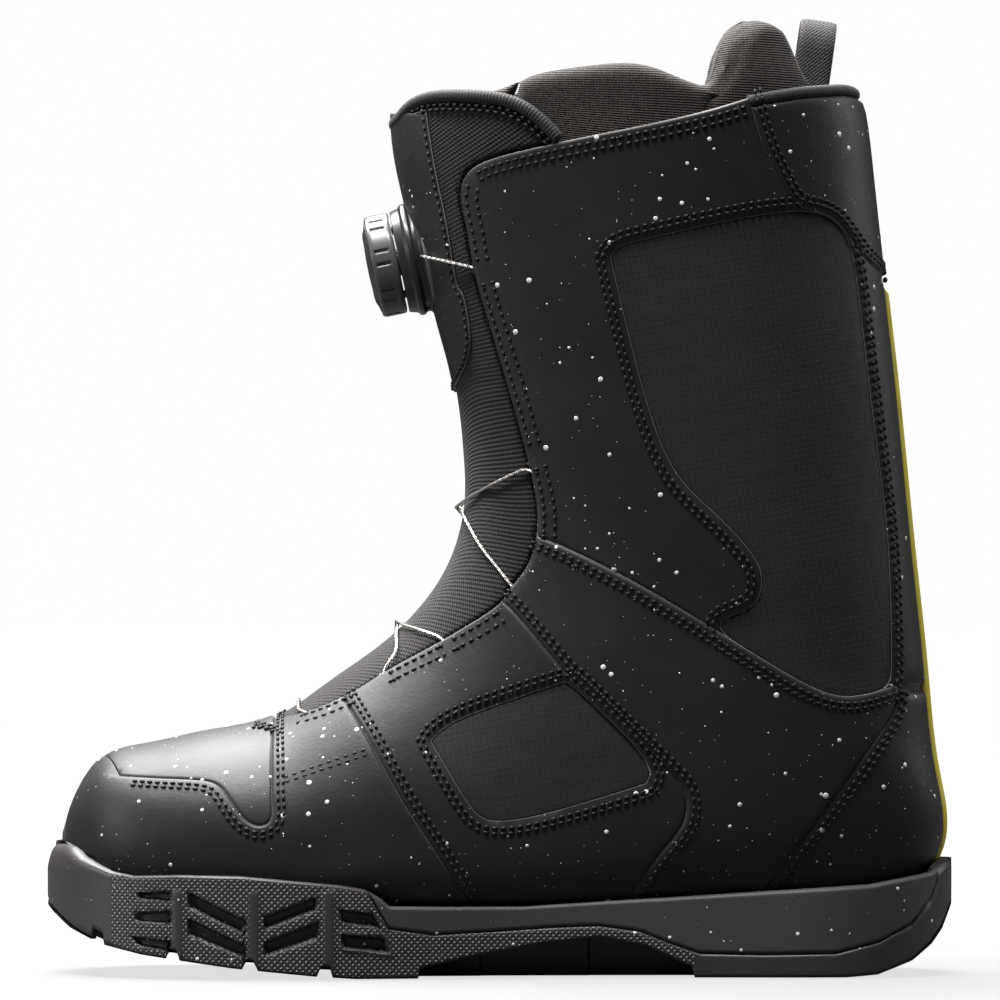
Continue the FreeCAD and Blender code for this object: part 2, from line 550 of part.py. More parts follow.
CUFF_RUN = [(-9.8, 239.9), (0, 234.5), (8.5, 219), (16.5, 197), (17.5, 184), (9.4, 171.7)]
ANKLE_RUN = [(4.6, 132.4), (12, 124), (8, 112.5), (-7, 106), (-18.6, 113.8)]
LOW_RUN = [(-39.8, 102.4), (-42.5, 92.5), (-54, 84.5), (-64.6, 88.9)]


def tube_run(places, side):
    return [from_side(x, z, -GUIDE_INSET, side) for x, z in places]


def crossing(places, side, out):
    """Strand over the tongue, given as sideways place (+ towards side) and height."""
    points = []
    for y, z in places:
        proud = out if abs(y) < 8 else LACE_PROUD
        points.append(from_front(side * y - 1.0, z, proud))
    return points


UPPER_CROSS = [(-26, 167), (-14, 161.8), (0, 158.6), (14, 155), (25, 145.5)]
LOWER_CROSS = [(-19, 117), (-9, 118.3), (0, 118.6), (10, 115.8), (20, 109.5)]


def dial_end(side):
    return [exit_level + V(0, side * (SPOOL_R + 1.0), 0), exit_level + V(0, side * (HOUSING_R + 2.0), 0)]


lat, med = -1, 1
runs = [
    dial_end(lat), tube_run(CUFF_RUN, lat), crossing(UPPER_CROSS, med, LACE_PROUD), tube_run(ANKLE_RUN, med),
    crossing(LOWER_CROSS, lat, LACE_PROUD), tube_run(LOW_RUN, lat),
    [from_above(-67.5, -14, LACE_PROUD), from_above(-68, 0, LACE_PROUD), from_above(-67.5, 14, LACE_PROUD)],
    tube_run(LOW_RUN, med)[::-1], crossing(LOWER_CROSS[::-1], med, LACE_OVER), tube_run(ANKLE_RUN, lat)[::-1],
    crossing(UPPER_CROSS[::-1], lat, LACE_OVER), tube_run(CUFF_RUN, med)[::-1], dial_end(med)[::-1],
]
lace_points = []
tubes = []
for index, run in enumerate(runs):
    if index in (1, 3, 5, 7, 9, 11):
        tubes.append((len(lace_points), len(lace_points) + len(run) - 1))
    lace_points += run
lace_edges = soft_wire(lace_points, LACE_BEND)
lace = rod(lace_edges, LACE_R)
lace_room = rod(lace_edges, LACE_R + 0.25)
lace_length = sum(e.Length for e in lace_edges)
print("lace", lace.isValid(), round(lace_length), round(lace.Volume / (math.pi * LACE_R ** 2 * lace_length), 4))
names = ["cuff_lateral", "ankle_medial", "low_lateral", "low_medial", "ankle_lateral", "cuff_medial"]
tube_rooms = []
tongue_rooms = []
for name, (first, last) in zip(names, tubes):
    # the arc at point i is edge 2 i - 1, so the tube starts just after the bend at its mouth
    run = lace_edges[2 * first:2 * last - 1]
    save("lace_tube_" + name, rod(run, GUIDE_R).cut(rod(run, GUIDE_BORE)))
    tube_rooms.append(rod(run, GUIDE_R + LAYER_GAP))
    tongue_rooms.append(rod(run, GUIDE_R + TUBE_SWING))
save("lace", lace)
for node in list(made):
    if node.split("_")[0] in ("cuff", "quarter", "vamp", "lining", "strap"):
        shape = made[node]
        for room in tube_rooms + [lace_room]:
            shape = shape.cut(room)
        made[node] = biggest(shape)
print("lace done")

# ---- dial ----------------------------------------------------------------------------
def turned(radius, low, high, bore=0.0):
    """Ring or disc about the dial's axis, between two heights above its seat."""
    body = Part.makeCylinder(radius, high - low, dial_seat + dial_axis * low, dial_axis)
    if bore > 0:
        body = body.cut(Part.makeCylinder(bore, high - low + 2, dial_seat + dial_axis * (low - 1), dial_axis))
    return body


def dial_frame(shape):
    """Bring a shape drawn about +Z into the dial's frame."""
    frame = FreeCAD.Placement(dial_seat, FreeCAD.Rotation(V(0, 0, 1), dial_axis))
    shape.Placement = frame.multiply(shape.Placement)
    return shape


hole_r = SHAFT_R + RUNNING
seat_level = HOUSING_H - RATCHET_H - 0.2
housing = turned(HOUSING_R, 0, 7.0).fuse(dial_frame(Part.makeCone(HOUSING_R, 17.2, HOUSING_H - 7.0, V(0, 0, 7.0))))
housing = housing.cut(turned(SPOOL_R + 0.5, 1.4, HOUSING_H + 1))
housing = housing.cut(turned(RATCHET_R + LAYER_GAP, seat_level, HOUSING_H + 1))
housing = housing.cut(turned(SHAFT_R + RUNNING, -1, 2))
exits = Part.makeCylinder(0.8, 2 * HOUSING_R + 6, exit_level - V(0, HOUSING_R + 3, 0), V(0, 1, 0))
housing = housing.cut(exits).removeSplitter()
save("dial_housing", biggest(housing))

teeth = []
for k in range(RATCHET_TEETH):
    a = 2 * math.pi * k / RATCHET_TEETH
    b = 2 * math.pi * (k + 0.85) / RATCHET_TEETH
    teeth += [V(RATCHET_TIP_R * math.cos(a), RATCHET_TIP_R * math.sin(a), 0), V(14.1 * math.cos(b), 14.1 * math.sin(b), 0)]
hollow = Part.Face(Part.makePolygon(teeth + [teeth[0]])).extrude(V(0, 0, RATCHET_H + 2))
hollow.translate(V(0, 0, seat_level - 1))
save("dial_ratchet", turned(RATCHET_R, seat_level + LAYER_GAP, seat_level + RATCHET_H).cut(dial_frame(hollow)))

spool_low = 1.8
flange = 0.8
spool = turned(SPOOL_R, spool_low, spool_low + flange)
spool = spool.fuse(turned(SPOOL_CORE_R, spool_low, spool_low + SPOOL_H - 0.1))
spool = spool.fuse(turned(SPOOL_R, spool_low + SPOOL_H - flange, spool_low + SPOOL_H))
spool = spool.cut(turned(hole_r, 0, 12)).removeSplitter()
save("dial_spool", biggest(spool))
wound = turned(9.4, spool_low + flange + 0.1, spool_low + SPOOL_H - flange - 0.1, SPOOL_CORE_R + LAYER_GAP)
save("lace_wound", wound)

pawl_low, pawl_high = knob_base + 0.3, knob_base + 1.2
pawl = turned(14.2, pawl_low, pawl_high).fuse(turned(4.6, spool_low + SPOOL_H + 0.3, pawl_low + 0.1))
for k in range(PAWL_ARMS):
    arm = Part.makeBox(2.6, 2.2, pawl_low - seat_level - 0.4 + 0.1, V(9.7, -1.1, seat_level + 0.4))
    arm.rotate(V(0, 0, 0), V(0, 0, 1), 360.0 * k / PAWL_ARMS)
    pawl = pawl.fuse(dial_frame(arm))
pawl = pawl.cut(turned(hole_r, 0, 20)).removeSplitter()
save("dial_pawl", biggest(pawl))

clip_low = pawl_high + 0.3
clip_high = clip_low + 0.5
head_low = clip_high + DIAL_POP + 0.2
head_high = head_low + 1.1
save("dial_clip", turned(4.4, clip_low, clip_high, hole_r))
shaft = turned(SHAFT_R, 0.2, head_low + 0.2).fuse(turned(3.2, head_low, head_high)).removeSplitter()
save("dial_shaft", biggest(shaft))

knob_r = KNOB_R - GRIP
knob_top = knob_base + KNOB_H
ceiling = head_high + 0.4
inner_r = knob_r - KNOB_WALL
dome = Part.Arc(V(knob_r, 0, knob_top), V(knob_r * 0.55, 0, knob_top + KNOB_DOME * 0.72), V(2, 0, knob_top + KNOB_DOME))
rest = Part.makePolygon([
    V(2, 0, knob_top + KNOB_DOME), V(0, 0, knob_top + KNOB_DOME), V(0, 0, ceiling), V(inner_r, 0, ceiling), V(inner_r, 0, knob_base),
    V(knob_r, 0, knob_base), V(knob_r, 0, knob_top),
])
half_knob = Part.Face(Part.Wire([dome.toShape()] + rest.Edges))
save("dial_knob", biggest(dial_frame(half_knob.revolve(V(0, 0, 0), V(0, 0, 1), 360))))
grip = turned(KNOB_R, knob_base + 0.2, knob_top - 0.4, knob_r + LAYER_GAP)
for k in range(GRIP_SLOTS):
    if k % 3 == 2:
        continue
    slot = Part.makeBox(2, GRIP_SLOT_W, KNOB_H - 3.6, V(KNOB_R - 0.55, -GRIP_SLOT_W / 2, knob_base + 1.6))
    slot.rotate(V(0, 0, 0), V(0, 0, 1), 360.0 * k / GRIP_SLOTS)
    grip = grip.cut(dial_frame(slot))
save("dial_grip", biggest(grip))
print("dial done")

dial_room = turned(HOUSING_R + LAYER_GAP, -LAYER_GAP, 20)
for node, shape in (("tongue_body", tongue_body), ("tongue_shield", shield), ("tongue_binding", binding)):
    shape = shape.cut(dial_room).cut(lace_room)
    for room in tongue_rooms:
        shape = shape.cut(room)
    save(node, biggest(shape))

for node, shape in made.items():
    shape.exportStep("parts/" + node + ".step")
print(len(made), "nodes written")
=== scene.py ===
import math

import bmesh
import bpy
import numpy as np
from mathutils import Matrix, Vector
from mathutils.bvhtree import BVHTree
from mathutils.kdtree import KDTree
from mathutils.geometry import delaunay_2d_cdt


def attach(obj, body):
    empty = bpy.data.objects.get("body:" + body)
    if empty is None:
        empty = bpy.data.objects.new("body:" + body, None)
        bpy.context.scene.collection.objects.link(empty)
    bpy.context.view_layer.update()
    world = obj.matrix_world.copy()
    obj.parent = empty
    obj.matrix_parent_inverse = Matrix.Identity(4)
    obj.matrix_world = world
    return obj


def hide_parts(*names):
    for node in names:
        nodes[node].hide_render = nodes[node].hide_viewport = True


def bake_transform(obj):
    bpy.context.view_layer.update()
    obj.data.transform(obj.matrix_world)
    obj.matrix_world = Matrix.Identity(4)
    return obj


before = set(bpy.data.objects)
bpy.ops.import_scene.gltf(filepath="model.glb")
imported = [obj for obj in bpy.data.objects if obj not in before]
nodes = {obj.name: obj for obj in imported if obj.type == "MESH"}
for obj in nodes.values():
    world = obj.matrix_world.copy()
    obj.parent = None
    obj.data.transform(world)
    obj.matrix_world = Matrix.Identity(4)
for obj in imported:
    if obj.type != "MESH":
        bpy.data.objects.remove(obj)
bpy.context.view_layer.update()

mm = 0.001


# front x, z, back x, z, half width, sideways shift, widest point, roundness front, back
outerSections = [
    (-148.6, 50, -148.6, 39, 9, 8.0, 0.55, 2.0, 2.0),
    (-146.4, 57, -146.4, 35.5, 18.5, 7.5, 0.57, 2.2, 2.2),
    (-142, 66, -142, 32.5, 27.5, 7.0, 0.60, 2.3, 2.6),
    (-135.5, 73.5, -135.5, 30, 35.5, 6.0, 0.62, 2.3, 3.2),
    (-121, 78, -121, 27, 45, 5.0, 0.64, 2.2, 3.8),
    (-100, 82.5, -100, 25, 50.5, 3.5, 0.66, 2.1, 4.0),
    (-78, 87.5, -77, 23, 52.5, 2.0, 0.68, 2.0, 4.2),
    (-61, 98.5, -55, 21.5, 51.5, 0.5, 0.70, 2.0, 4.2),
    (-42, 112, -28, 20, 49.5, -0.5, 0.70, 2.0, 4.0),
    (-27, 126.5, 5, 18.5, 47, -1.0, 0.68, 2.0, 3.8),
    (-17.5, 142, 42, 18, 45, -1.0, 0.62, 2.1, 3.6),
    (-13, 160, 84, 18.5, 44, -1.0, 0.55, 2.2, 3.2),
    (-13.2, 176, 128, 21, 43.5, -1.0, 0.52, 2.3, 2.7),
    (-14.5, 190, 151, 42, 44, -1.0, 0.50, 2.3, 2.4),
    (-17, 205, 149.6, 70, 45.5, -1.0, 0.50, 2.3, 2.2),
    (-21, 220, 145.8, 104, 47, -1.0, 0.50, 2.3, 2.2),
    (-25, 235, 142, 140, 48.5, -1.0, 0.50, 2.3, 2.2),
    (-29.5, 250, 138.5, 175, 50, -1.0, 0.50, 2.3, 2.2),
    (-33, 264, 135, 209, 51.5, -1.0, 0.50, 2.3, 2.2),
    (-36, 278, 131, 243, 53, -1.0, 0.50, 2.3, 2.2),
    (-37.3, 291, 127.5, 275, 54.5, -1.0, 0.50, 2.3, 2.2),
    (-36.5, 303, 123.5, 300, 55.5, -1.0, 0.50, 2.3, 2.2),
    (-33, 318, 116.5, 317, 55.5, -1.0, 0.50, 2.3, 2.2),
    (-28, 334, 111, 334, 55, -1.0, 0.50, 2.3, 2.2),
    (-24, 350, 106, 350, 54.5, -1.0, 0.50, 2.3, 2.2),
]
footSections = [
    (-133, 56, -133, 45, 9, 7.0, 0.55, 2.0, 2.0),
    (-129, 61.5, -129, 42, 19, 6.5, 0.55, 2.0, 2.2),
    (-118, 66, -118, 39, 29, 5.0, 0.58, 2.0, 2.6),
    (-98, 70, -98, 36, 36.5, 3.5, 0.60, 2.0, 2.8),
    (-76, 75, -75, 34, 38.5, 2.0, 0.62, 2.0, 2.8),
    (-56, 83, -50, 32.5, 37.5, 0.5, 0.62, 2.0, 2.8),
    (-36, 96, -22, 31, 35.5, -0.5, 0.62, 2.0, 2.8),
    (-18, 112, 10, 30, 33, -1.0, 0.62, 2.0, 2.8),
    (-5, 130, 46, 29.5, 31, -1.0, 0.58, 2.0, 2.8),
    (2.5, 149, 84, 30, 30, -1.0, 0.54, 2.1, 2.7),
    (2.5, 170, 112, 37, 30, -1.0, 0.52, 2.1, 2.4),
    (1.5, 190, 131, 60, 30.5, -1.0, 0.50, 2.1, 2.2),
    (-1.5, 205, 132, 90, 32, -1.0, 0.50, 2.1, 2.1),
    (-5.5, 220, 127, 120, 33.5, -1.0, 0.50, 2.1, 2.1),
    (-9.5, 235, 123, 150, 35, -1.0, 0.50, 2.1, 2.1),
    (-14, 250, 120, 182, 36.5, -1.0, 0.50, 2.1, 2.1),
    (-17.5, 266, 116, 214, 38, -1.0, 0.50, 2.1, 2.1),
    (-20, 282, 110, 246, 39.5, -1.0, 0.50, 2.1, 2.1),
    (-21, 297, 101, 278, 41, -1.0, 0.50, 2.1, 2.1),
    (-19, 318, 89, 308, 41.5, -1.0, 0.50, 2.1, 2.1),
    (-14, 334, 83, 334, 41, -1.0, 0.50, 2.1, 2.1),
    (-10, 350, 78, 350, 40.5, -1.0, 0.50, 2.1, 2.1),
]
ringPoints = 28


def sectionRing(s):
    fx, fz, bx, bz, half, shift, widest, roundFront, roundBack = s
    front, back = np.array([fx, 0, fz]), np.array([bx, 0, bz])
    depth = np.linalg.norm(back - front)
    along = (back - front) / depth
    t = np.linspace(0, math.pi, 241)
    c = np.cos(t)
    power = np.where(c >= 0, 2 / roundFront, 2 / roundBack)
    reach = depth * np.where(c >= 0, widest, 1 - widest)
    u = -np.sign(c) * np.abs(c) ** power * reach
    y = half * np.abs(np.sin(t)) ** power
    run = np.concatenate([[0], np.cumsum(np.hypot(np.diff(u), np.diff(y)))])
    want = np.linspace(0, run[-1], ringPoints // 2 + 1)
    u, y = np.interp(want, run, u), np.interp(want, run, y)
    centre = front + along * depth * widest + np.array([0, shift, 0])
    near = centre + np.outer(u, along) + np.outer(-y, [0, 1, 0])
    far = centre + np.outer(u, along) + np.outer(y, [0, 1, 0])
    return np.vstack([near, far[1:-1][::-1]])


def splineThrough(knots, values, at):
    knots, values = np.asarray(knots, float), np.asarray(values, float)
    flat = values.reshape(len(knots), -1)
    h = np.diff(knots)
    n = len(knots)
    a = np.eye(n)
    r = np.zeros_like(flat)
    for i in range(1, n - 1):
        a[i, i - 1:i + 2] = h[i - 1], 2 * (h[i - 1] + h[i]), h[i]
        r[i] = 6 * ((flat[i + 1] - flat[i]) / h[i] - (flat[i] - flat[i - 1]) / h[i - 1])
    m = np.linalg.solve(a, r)
    at = np.asarray(at, float)
    i = np.clip(np.searchsorted(knots, at, "right") - 1, 0, n - 2)
    d = (at - knots[i])[:, None]
    e = (knots[i + 1] - at)[:, None]
    k = h[i][:, None]
    out = (m[i] * e ** 3 + m[i + 1] * d ** 3) / (6 * k)
    out += (flat[i] / k - m[i] * k / 6) * e + (flat[i + 1] / k - m[i + 1] * k / 6) * d
    return out.reshape((len(at),) + values.shape[1:])


def makeForm(sections, across=448, along=520):
    rings = np.array([sectionRing(s) for s in sections])
    step = np.concatenate([[0], np.cumsum(np.linalg.norm(np.diff(rings, axis=0), axis=2).mean(axis=1))])
    step /= step[-1]
    wrap = np.concatenate([rings[:, -6:], rings, rings[:, :7]], axis=1)
    k = np.arange(-6, ringPoints + 7)
    fine = splineThrough(k, wrap.transpose(1, 0, 2), np.arange(across) * ringPoints / across)
    grid = splineThrough(step, fine.transpose(1, 0, 2), np.linspace(0, 1, along + 1))
    roundWay = np.roll(grid, -1, axis=1) - np.roll(grid, 1, axis=1)
    longWay = np.gradient(grid, axis=0)
    normal = np.cross(roundWay, longWay)
    normal /= np.linalg.norm(normal, axis=2, keepdims=True)
    if (normal * (grid - grid.mean(axis=1, keepdims=True))).sum() < 0:
        normal = -normal
    return {"grid": grid, "normal": normal, "across": across, "along": along}


outer = makeForm(outerSections)
foot = makeForm(footSections)
print("forms ready")


def sample(form, s, b, what="grid"):
    u = (-np.asarray(s, float) / 2) % 1.0 * form["across"]
    v = np.clip(np.asarray(b, float), 0, 1) * form["along"]
    i0 = np.floor(u).astype(int)
    j0 = np.clip(np.floor(v).astype(int), 0, form["along"] - 1)
    fu, fv = (u - i0)[..., None], (v - j0)[..., None]
    i0 %= form["across"]
    i1 = (i0 + 1) % form["across"]
    g = form[what]
    return (g[j0, i0] * (1 - fu) + g[j0, i1] * fu) * (1 - fv) + (
        g[j0 + 1, i0] * (1 - fu) + g[j0 + 1, i1] * fu) * fv


def onForm(form, sb, inset=0.0):
    sb = np.asarray(sb, float)
    p = sample(form, sb[:, 0], sb[:, 1])
    n = sample(form, sb[:, 0], sb[:, 1], "normal")
    n /= np.linalg.norm(n, axis=1, keepdims=True)
    return p - n * np.reshape(inset, (-1, 1)) if np.ndim(inset) else p - n * inset


def normalAt(form, sb):
    n = sample(form, np.asarray(sb)[:, 0], np.asarray(sb)[:, 1], "normal")
    return n / np.linalg.norm(n, axis=1, keepdims=True)


def fromSide(form, places, side=-1):
    halfRing = form["across"] // 2 + 1
    g = form["grid"][:, :halfRing]
    out = []
    for x, z in places:
        d = (g[..., 0] - x) ** 2 + (g[..., 2] - z) ** 2
        j, i = np.unravel_index(np.argmin(d), d.shape)
        j1, j0 = min(j + 1, form["along"]), max(j - 1, 0)
        i1, i0 = min(i + 1, halfRing - 1), max(i - 1, 0)
        du = (g[j, i1] - g[j, i0])[[0, 2]] / (i1 - i0)
        dv = (g[j1, i] - g[j0, i])[[0, 2]] / (j1 - j0)
        miss = np.array([x, z]) - g[j, i][[0, 2]]
        det = du[0] * dv[1] - du[1] * dv[0]
        if abs(det) > 1e-3:
            a = np.clip((miss[0] * dv[1] - miss[1] * dv[0]) / det, -1, 1)
            c = np.clip((du[0] * miss[1] - du[1] * miss[0]) / det, -1, 1)
        else:
            a = c = 0.0
        u = np.clip(i + a, 0, halfRing - 1) / form["across"] * 2
        out.append((side * u, np.clip(j + c, 0, form["along"]) / form["along"]))
    return np.array(out)


def smoothLine(points, spacing, closed=False, soften=0):
    p = np.asarray(points, float)
    for _ in range(soften):
        if closed:
            q = np.roll(p, -1, axis=0)
            p = np.stack([p * 0.75 + q * 0.25, p * 0.25 + q * 0.75], 1).reshape(-1, 2)
        else:
            mid = np.stack([p[:-1] * 0.75 + p[1:] * 0.25, p[:-1] * 0.25 + p[1:] * 0.75], 1).reshape(-1, 2)
            p = np.vstack([p[:1], mid, p[-1:]])
    if closed:
        p = np.vstack([p, p[:1]])
    run = np.concatenate([[0], np.cumsum(np.linalg.norm(np.diff(p, axis=0), axis=1))])
    count = max(int(round(run[-1] / spacing)), 2)
    want = np.linspace(0, run[-1], count + 1)
    out = np.stack([np.interp(want, run, p[:, k]) for k in range(2)], 1)
    return out[:-1] if closed else out


def mirrorFront(line):
    return np.vstack([line, line[::-1] * np.array([-1, 1])])


def mirrorBack(line):
    other = line[::-1].copy()
    other[:, 0] = -2 - other[:, 0]
    return np.vstack([line, other])


def jacobian(form, sb):
    e = 0.002
    ds = (sample(form, sb[:, 0] + e, sb[:, 1]) - sample(form, sb[:, 0] - e, sb[:, 1])) / (2 * e)
    db = (sample(form, sb[:, 0], sb[:, 1] + e) - sample(form, sb[:, 0], sb[:, 1] - e)) / (2 * e)
    return ds, db


def shiftedLine(form, sb, distance, closed=True):
    p = onForm(form, sb)
    n = normalAt(form, sb)
    if closed:
        t = np.roll(p, -1, axis=0) - np.roll(p, 1, axis=0)
    else:
        t = np.gradient(p, axis=0)
    t /= np.maximum(np.linalg.norm(t, axis=1, keepdims=True), 1e-9)
    move = np.cross(n, t) * np.reshape(distance, (-1, 1)) if np.ndim(distance) else np.cross(n,
        t) * distance
    ds, db = jacobian(form, sb)
    a11, a12, a22 = (ds * ds).sum(1), (ds * db).sum(1), (db * db).sum(1)
    r1, r2 = (ds * move).sum(1), (db * move).sum(1)
    det = np.maximum(a11 * a22 - a12 ** 2, 1e-9)
    return sb + np.stack([(a22 * r1 - a12 * r2) / det, (a11 * r2 - a12 * r1) / det], 1)


def lineDistance(points, line, closed=True):
    a = line
    b = np.roll(line, -1, axis=0) if closed else line[1:]
    a = a if closed else line[:-1]
    best = np.full(len(points), 1e9)
    for k in range(0, len(points), 400):
        p = points[k:k + 400, None]
        ab = (b - a)[None]
        t = np.clip(((p - a[None]) * ab).sum(2) / np.maximum((ab * ab).sum(2), 1e-12), 0, 1)
        best[k:k + 400] = np.linalg.norm(p - a[None] - ab * t[..., None], axis=2).min(1)
    return best


def insideLoop(points, loop):
    x, y = points[:, 0], points[:, 1]
    inside = np.zeros(len(points), bool)
    for (x0, y0), (x1, y1) in zip(loop, np.roll(loop, -1, axis=0)):
        if y0 == y1:
            continue
        crosses = (y0 > y) != (y1 > y)
        inside ^= crosses & (x < (x1 - x0) * (y - y0) / (y1 - y0) + x0)
    return inside


def newMesh(name, verts, faces, material=None, uv=None, floats=None, smooth=True, sharp=None):
    data = bpy.data.meshes.new(name)
    data.from_pydata((np.asarray(verts) * mm).tolist(), [],
        faces if isinstance(faces, list) else faces.tolist())
    if uv is not None:
        layer = data.uv_layers.new(name="surf")
        loops = np.empty(len(data.loops), int)
        data.loops.foreach_get("vertex_index", loops)
        layer.data.foreach_set("uv", np.asarray(uv, np.float32)[loops].ravel())
    for key, values in (floats or {}).items():
        data.attributes.new(key, "FLOAT", "POINT").data.foreach_set("value", np.asarray(values, np.float32))
    if smooth:
        data.shade_smooth()
    if sharp:
        data.set_sharp_from_angle(angle=math.radians(sharp))
    if material:
        data.materials.append(material)
    obj = bpy.data.objects.new(name, data)
    bpy.context.scene.collection.objects.link(obj)
    return obj


domain = np.array([170.0, 620.0])      # form coordinates to roughly mm, for even triangles


def panel(name, form, loop, low, high, ease=1.2, grid=2.6, material=None, holes=(), relief=None,
    lowEase=0.0, edgeRise=0.5, openEdges=None, inner=None):
    thick = low - high
    loops = [np.asarray(loop)] + [np.asarray(h) for h in holes]
    if area2(loops[0]) < 0:
        loops[0] = loops[0][::-1]
    loops[1:] = [h if area2(h) < 0 else h[::-1] for h in loops[1:]]
    steps = [s * ease for s in (0.12, 0.35, 0.7, 1.1)]
    points, edges = [], []
    for line in loops:
        sign = turning(form, line)
        for d in [0.0] + steps:
            ring = shiftedLine(form, line, sign * d) if d else line
            start = sum(len(q) for q in points)
            points.append(ring)
            if d == 0.0:
                edges += [(start + k, start + (k + 1) % len(ring)) for k in range(len(ring))]
    lo, hi = loops[0].min(0), loops[0].max(0)
    stepS, stepB = grid / domain
    gs, gb = np.meshgrid(np.arange(lo[0], hi[0], stepS), np.arange(lo[1], hi[1], stepB))
    filler = np.stack([gs.ravel(), gb.ravel()], 1)
    filler = filler[insideLoop(filler, loops[0])]
    edgeLines = [onForm(form, line) for line in loops]
    if len(filler):
        pos = onForm(form, filler)
        near = np.min([lineDistance(pos, line) for line in edgeLines], axis=0)
        filler = filler[near > steps[-1] + grid * 0.3]
    base = np.vstack(points + [filler])
    cut = delaunay_2d_cdt([Vector(p) for p in (base * domain).tolist()], edges, [], 1, 1e-5)
    flat = np.array([list(v) for v in cut[0]]) / domain
    tris = np.array([list(f) for f in cut[2]])
    centres = flat[tris].mean(1)
    good = insideLoop(centres, loops[0])
    for hole in loops[1:]:
        good &= ~insideLoop(centres, hole)
    a, b, c = flat[tris[:, 0]], flat[tris[:, 1]], flat[tris[:, 2]]
    size = np.abs((b[:, 0] - a[:, 0]) * (c[:, 1] - a[:, 1]) - (b[:, 1] - a[:, 1]) * (c[:, 0] - a[:, 0]))
    tris = tris[good & (size > 1e-10)]
    used = np.unique(tris)
    remap = -np.ones(len(flat), int)
    remap[used] = np.arange(len(used))
    flat, tris = flat[used], remap[tris]
    surface = onForm(form, flat)
    away = np.min([lineDistance(surface, line) for line in edgeLines], axis=0)
    if openEdges is not None:
        away = np.where(openEdges(flat), 50.0, away)
    share = 1 - np.clip(away / ease, 0, 1)
    lift = thick * (edgeRise + (1 - edgeRise) * np.sqrt(np.maximum(1 - share ** 2, 0)))
    if relief is not None:
        lift = lift + relief(flat, surface, away)
    drop = thick * lowEase * (1 - np.sqrt(np.maximum(1 - share ** 2, 0)))
    n = normalAt(form, flat)
    top = surface - n * (low - lift)[:, None]
    bottom = surface - n * (low - drop)[:, None]
    if inner is not None:
        outside = surface - n * high
        inside = inner(outside)
        round_ = np.sqrt(np.maximum(1 - share ** 2, 0))[:, None]
        top = (outside + inside) / 2 + (outside - inside) / 2 * round_
        bottom = (outside + inside) / 2 - (outside - inside) / 2 * round_
        if relief is not None:
            top = top + n * relief(flat, surface, away)[:, None]
    facing = np.cross(top[tris[:, 1]] - top[tris[:, 0]], top[tris[:, 2]] - top[tris[:, 0]])
    flip = (facing * n[tris[:, 0]]).sum(1) < 0
    tris[flip] = tris[flip][:, ::-1]
    count = len(flat)
    sides = {}
    for t in tris:
        for k in range(3):
            e = (t[k], t[(k + 1) % 3])
            sides[e] = True
    border = [e for e in sides if (e[1], e[0]) not in sides]
    walls = [[b, a, a + count, b + count] for a, b in border]
    faces = tris.tolist() + (tris[:, ::-1] + count).tolist() + walls
    girth = np.linalg.norm(np.diff(sample(form, np.linspace(0, -1, 40)[:, None] * np.ones(60),
        np.ones((40, 1)) * np.linspace(0, 1, 60)), axis=0), axis=2).sum(0)
    across = flat[:, 0] * np.interp(flat[:, 1], np.linspace(0, 1, 60), girth)
    uv = np.stack([across, flat[:, 1] * 560], 1) * mm * 10
    edge = np.concatenate([away, np.zeros(count) - 1])
    obj = newMesh(name, np.vstack([top, bottom]), faces, material, np.vstack([uv, uv]), {"edge": edge},
        sharp=50)
    obj["high"] = high
    return obj


def area2(loop):
    x, y = loop[:, 0], loop[:, 1]
    return (x * np.roll(y, -1) - np.roll(x, -1) * y).sum()


def turning(form, line):
    moved = shiftedLine(form, line, 0.3)
    return 1 if abs(area2(moved)) < abs(area2(line)) else -1


def material(name, color, rough, build=None, metal=0.0):
    mat = bpy.data.materials.new(name)
    mat.use_nodes = True
    tree = mat.node_tree
    shader = tree.nodes["Principled BSDF"]
    shader.inputs["Base Color"].default_value = (*color, 1)
    shader.inputs["Roughness"].default_value = rough
    shader.inputs["Metallic"].default_value = metal
    if build:
        build(tree, shader)
    return mat


def node(tree, kind, **settings):
    n = tree.nodes.new(kind)
    for key, value in settings.items():
        if key in n.inputs:
            n.inputs[key].default_value = value
        else:
            setattr(n, key, value)
    return n


def link(tree, a, b):
    tree.links.new(a, b)


def objectCoords(tree, scale=(1, 1, 1), turn=(0, 0, 0)):
    coords = node(tree, "ShaderNodeTexCoord")
    place = node(tree, "ShaderNodeMapping", Scale=scale, Rotation=turn)
    link(tree, coords.outputs["Object"], place.inputs["Vector"])
    return place.outputs["Vector"]


def surfCoords(tree, scale=(1, 1, 1), turn=(0, 0, 0)):
    coords = node(tree, "ShaderNodeUVMap", uv_map="surf")
    place = node(tree, "ShaderNodeMapping", Scale=scale, Rotation=turn)
    link(tree, coords.outputs["UV"], place.inputs["Vector"])
    return place.outputs["Vector"]


def noise(tree, vector, scale, detail=4.0, rough=0.5):
    n = node(tree, "ShaderNodeTexNoise", Scale=scale, Detail=detail, Roughness=rough)
    link(tree, vector, n.inputs["Vector"])
    return n.outputs["Fac"]


def ramp(tree, value, stops):
    n = node(tree, "ShaderNodeValToRGB")
    n.color_ramp.elements[0].position, n.color_ramp.elements[0].color = stops[0][0], (*stops[0][1], 1)
    n.color_ramp.elements[1].position, n.color_ramp.elements[1].color = stops[-1][0], (*stops[-1][1], 1)
    for place, color in stops[1:-1]:
        n.color_ramp.elements.new(place).color = (*color, 1)
    link(tree, value, n.inputs["Fac"])
    return n.outputs["Color"]


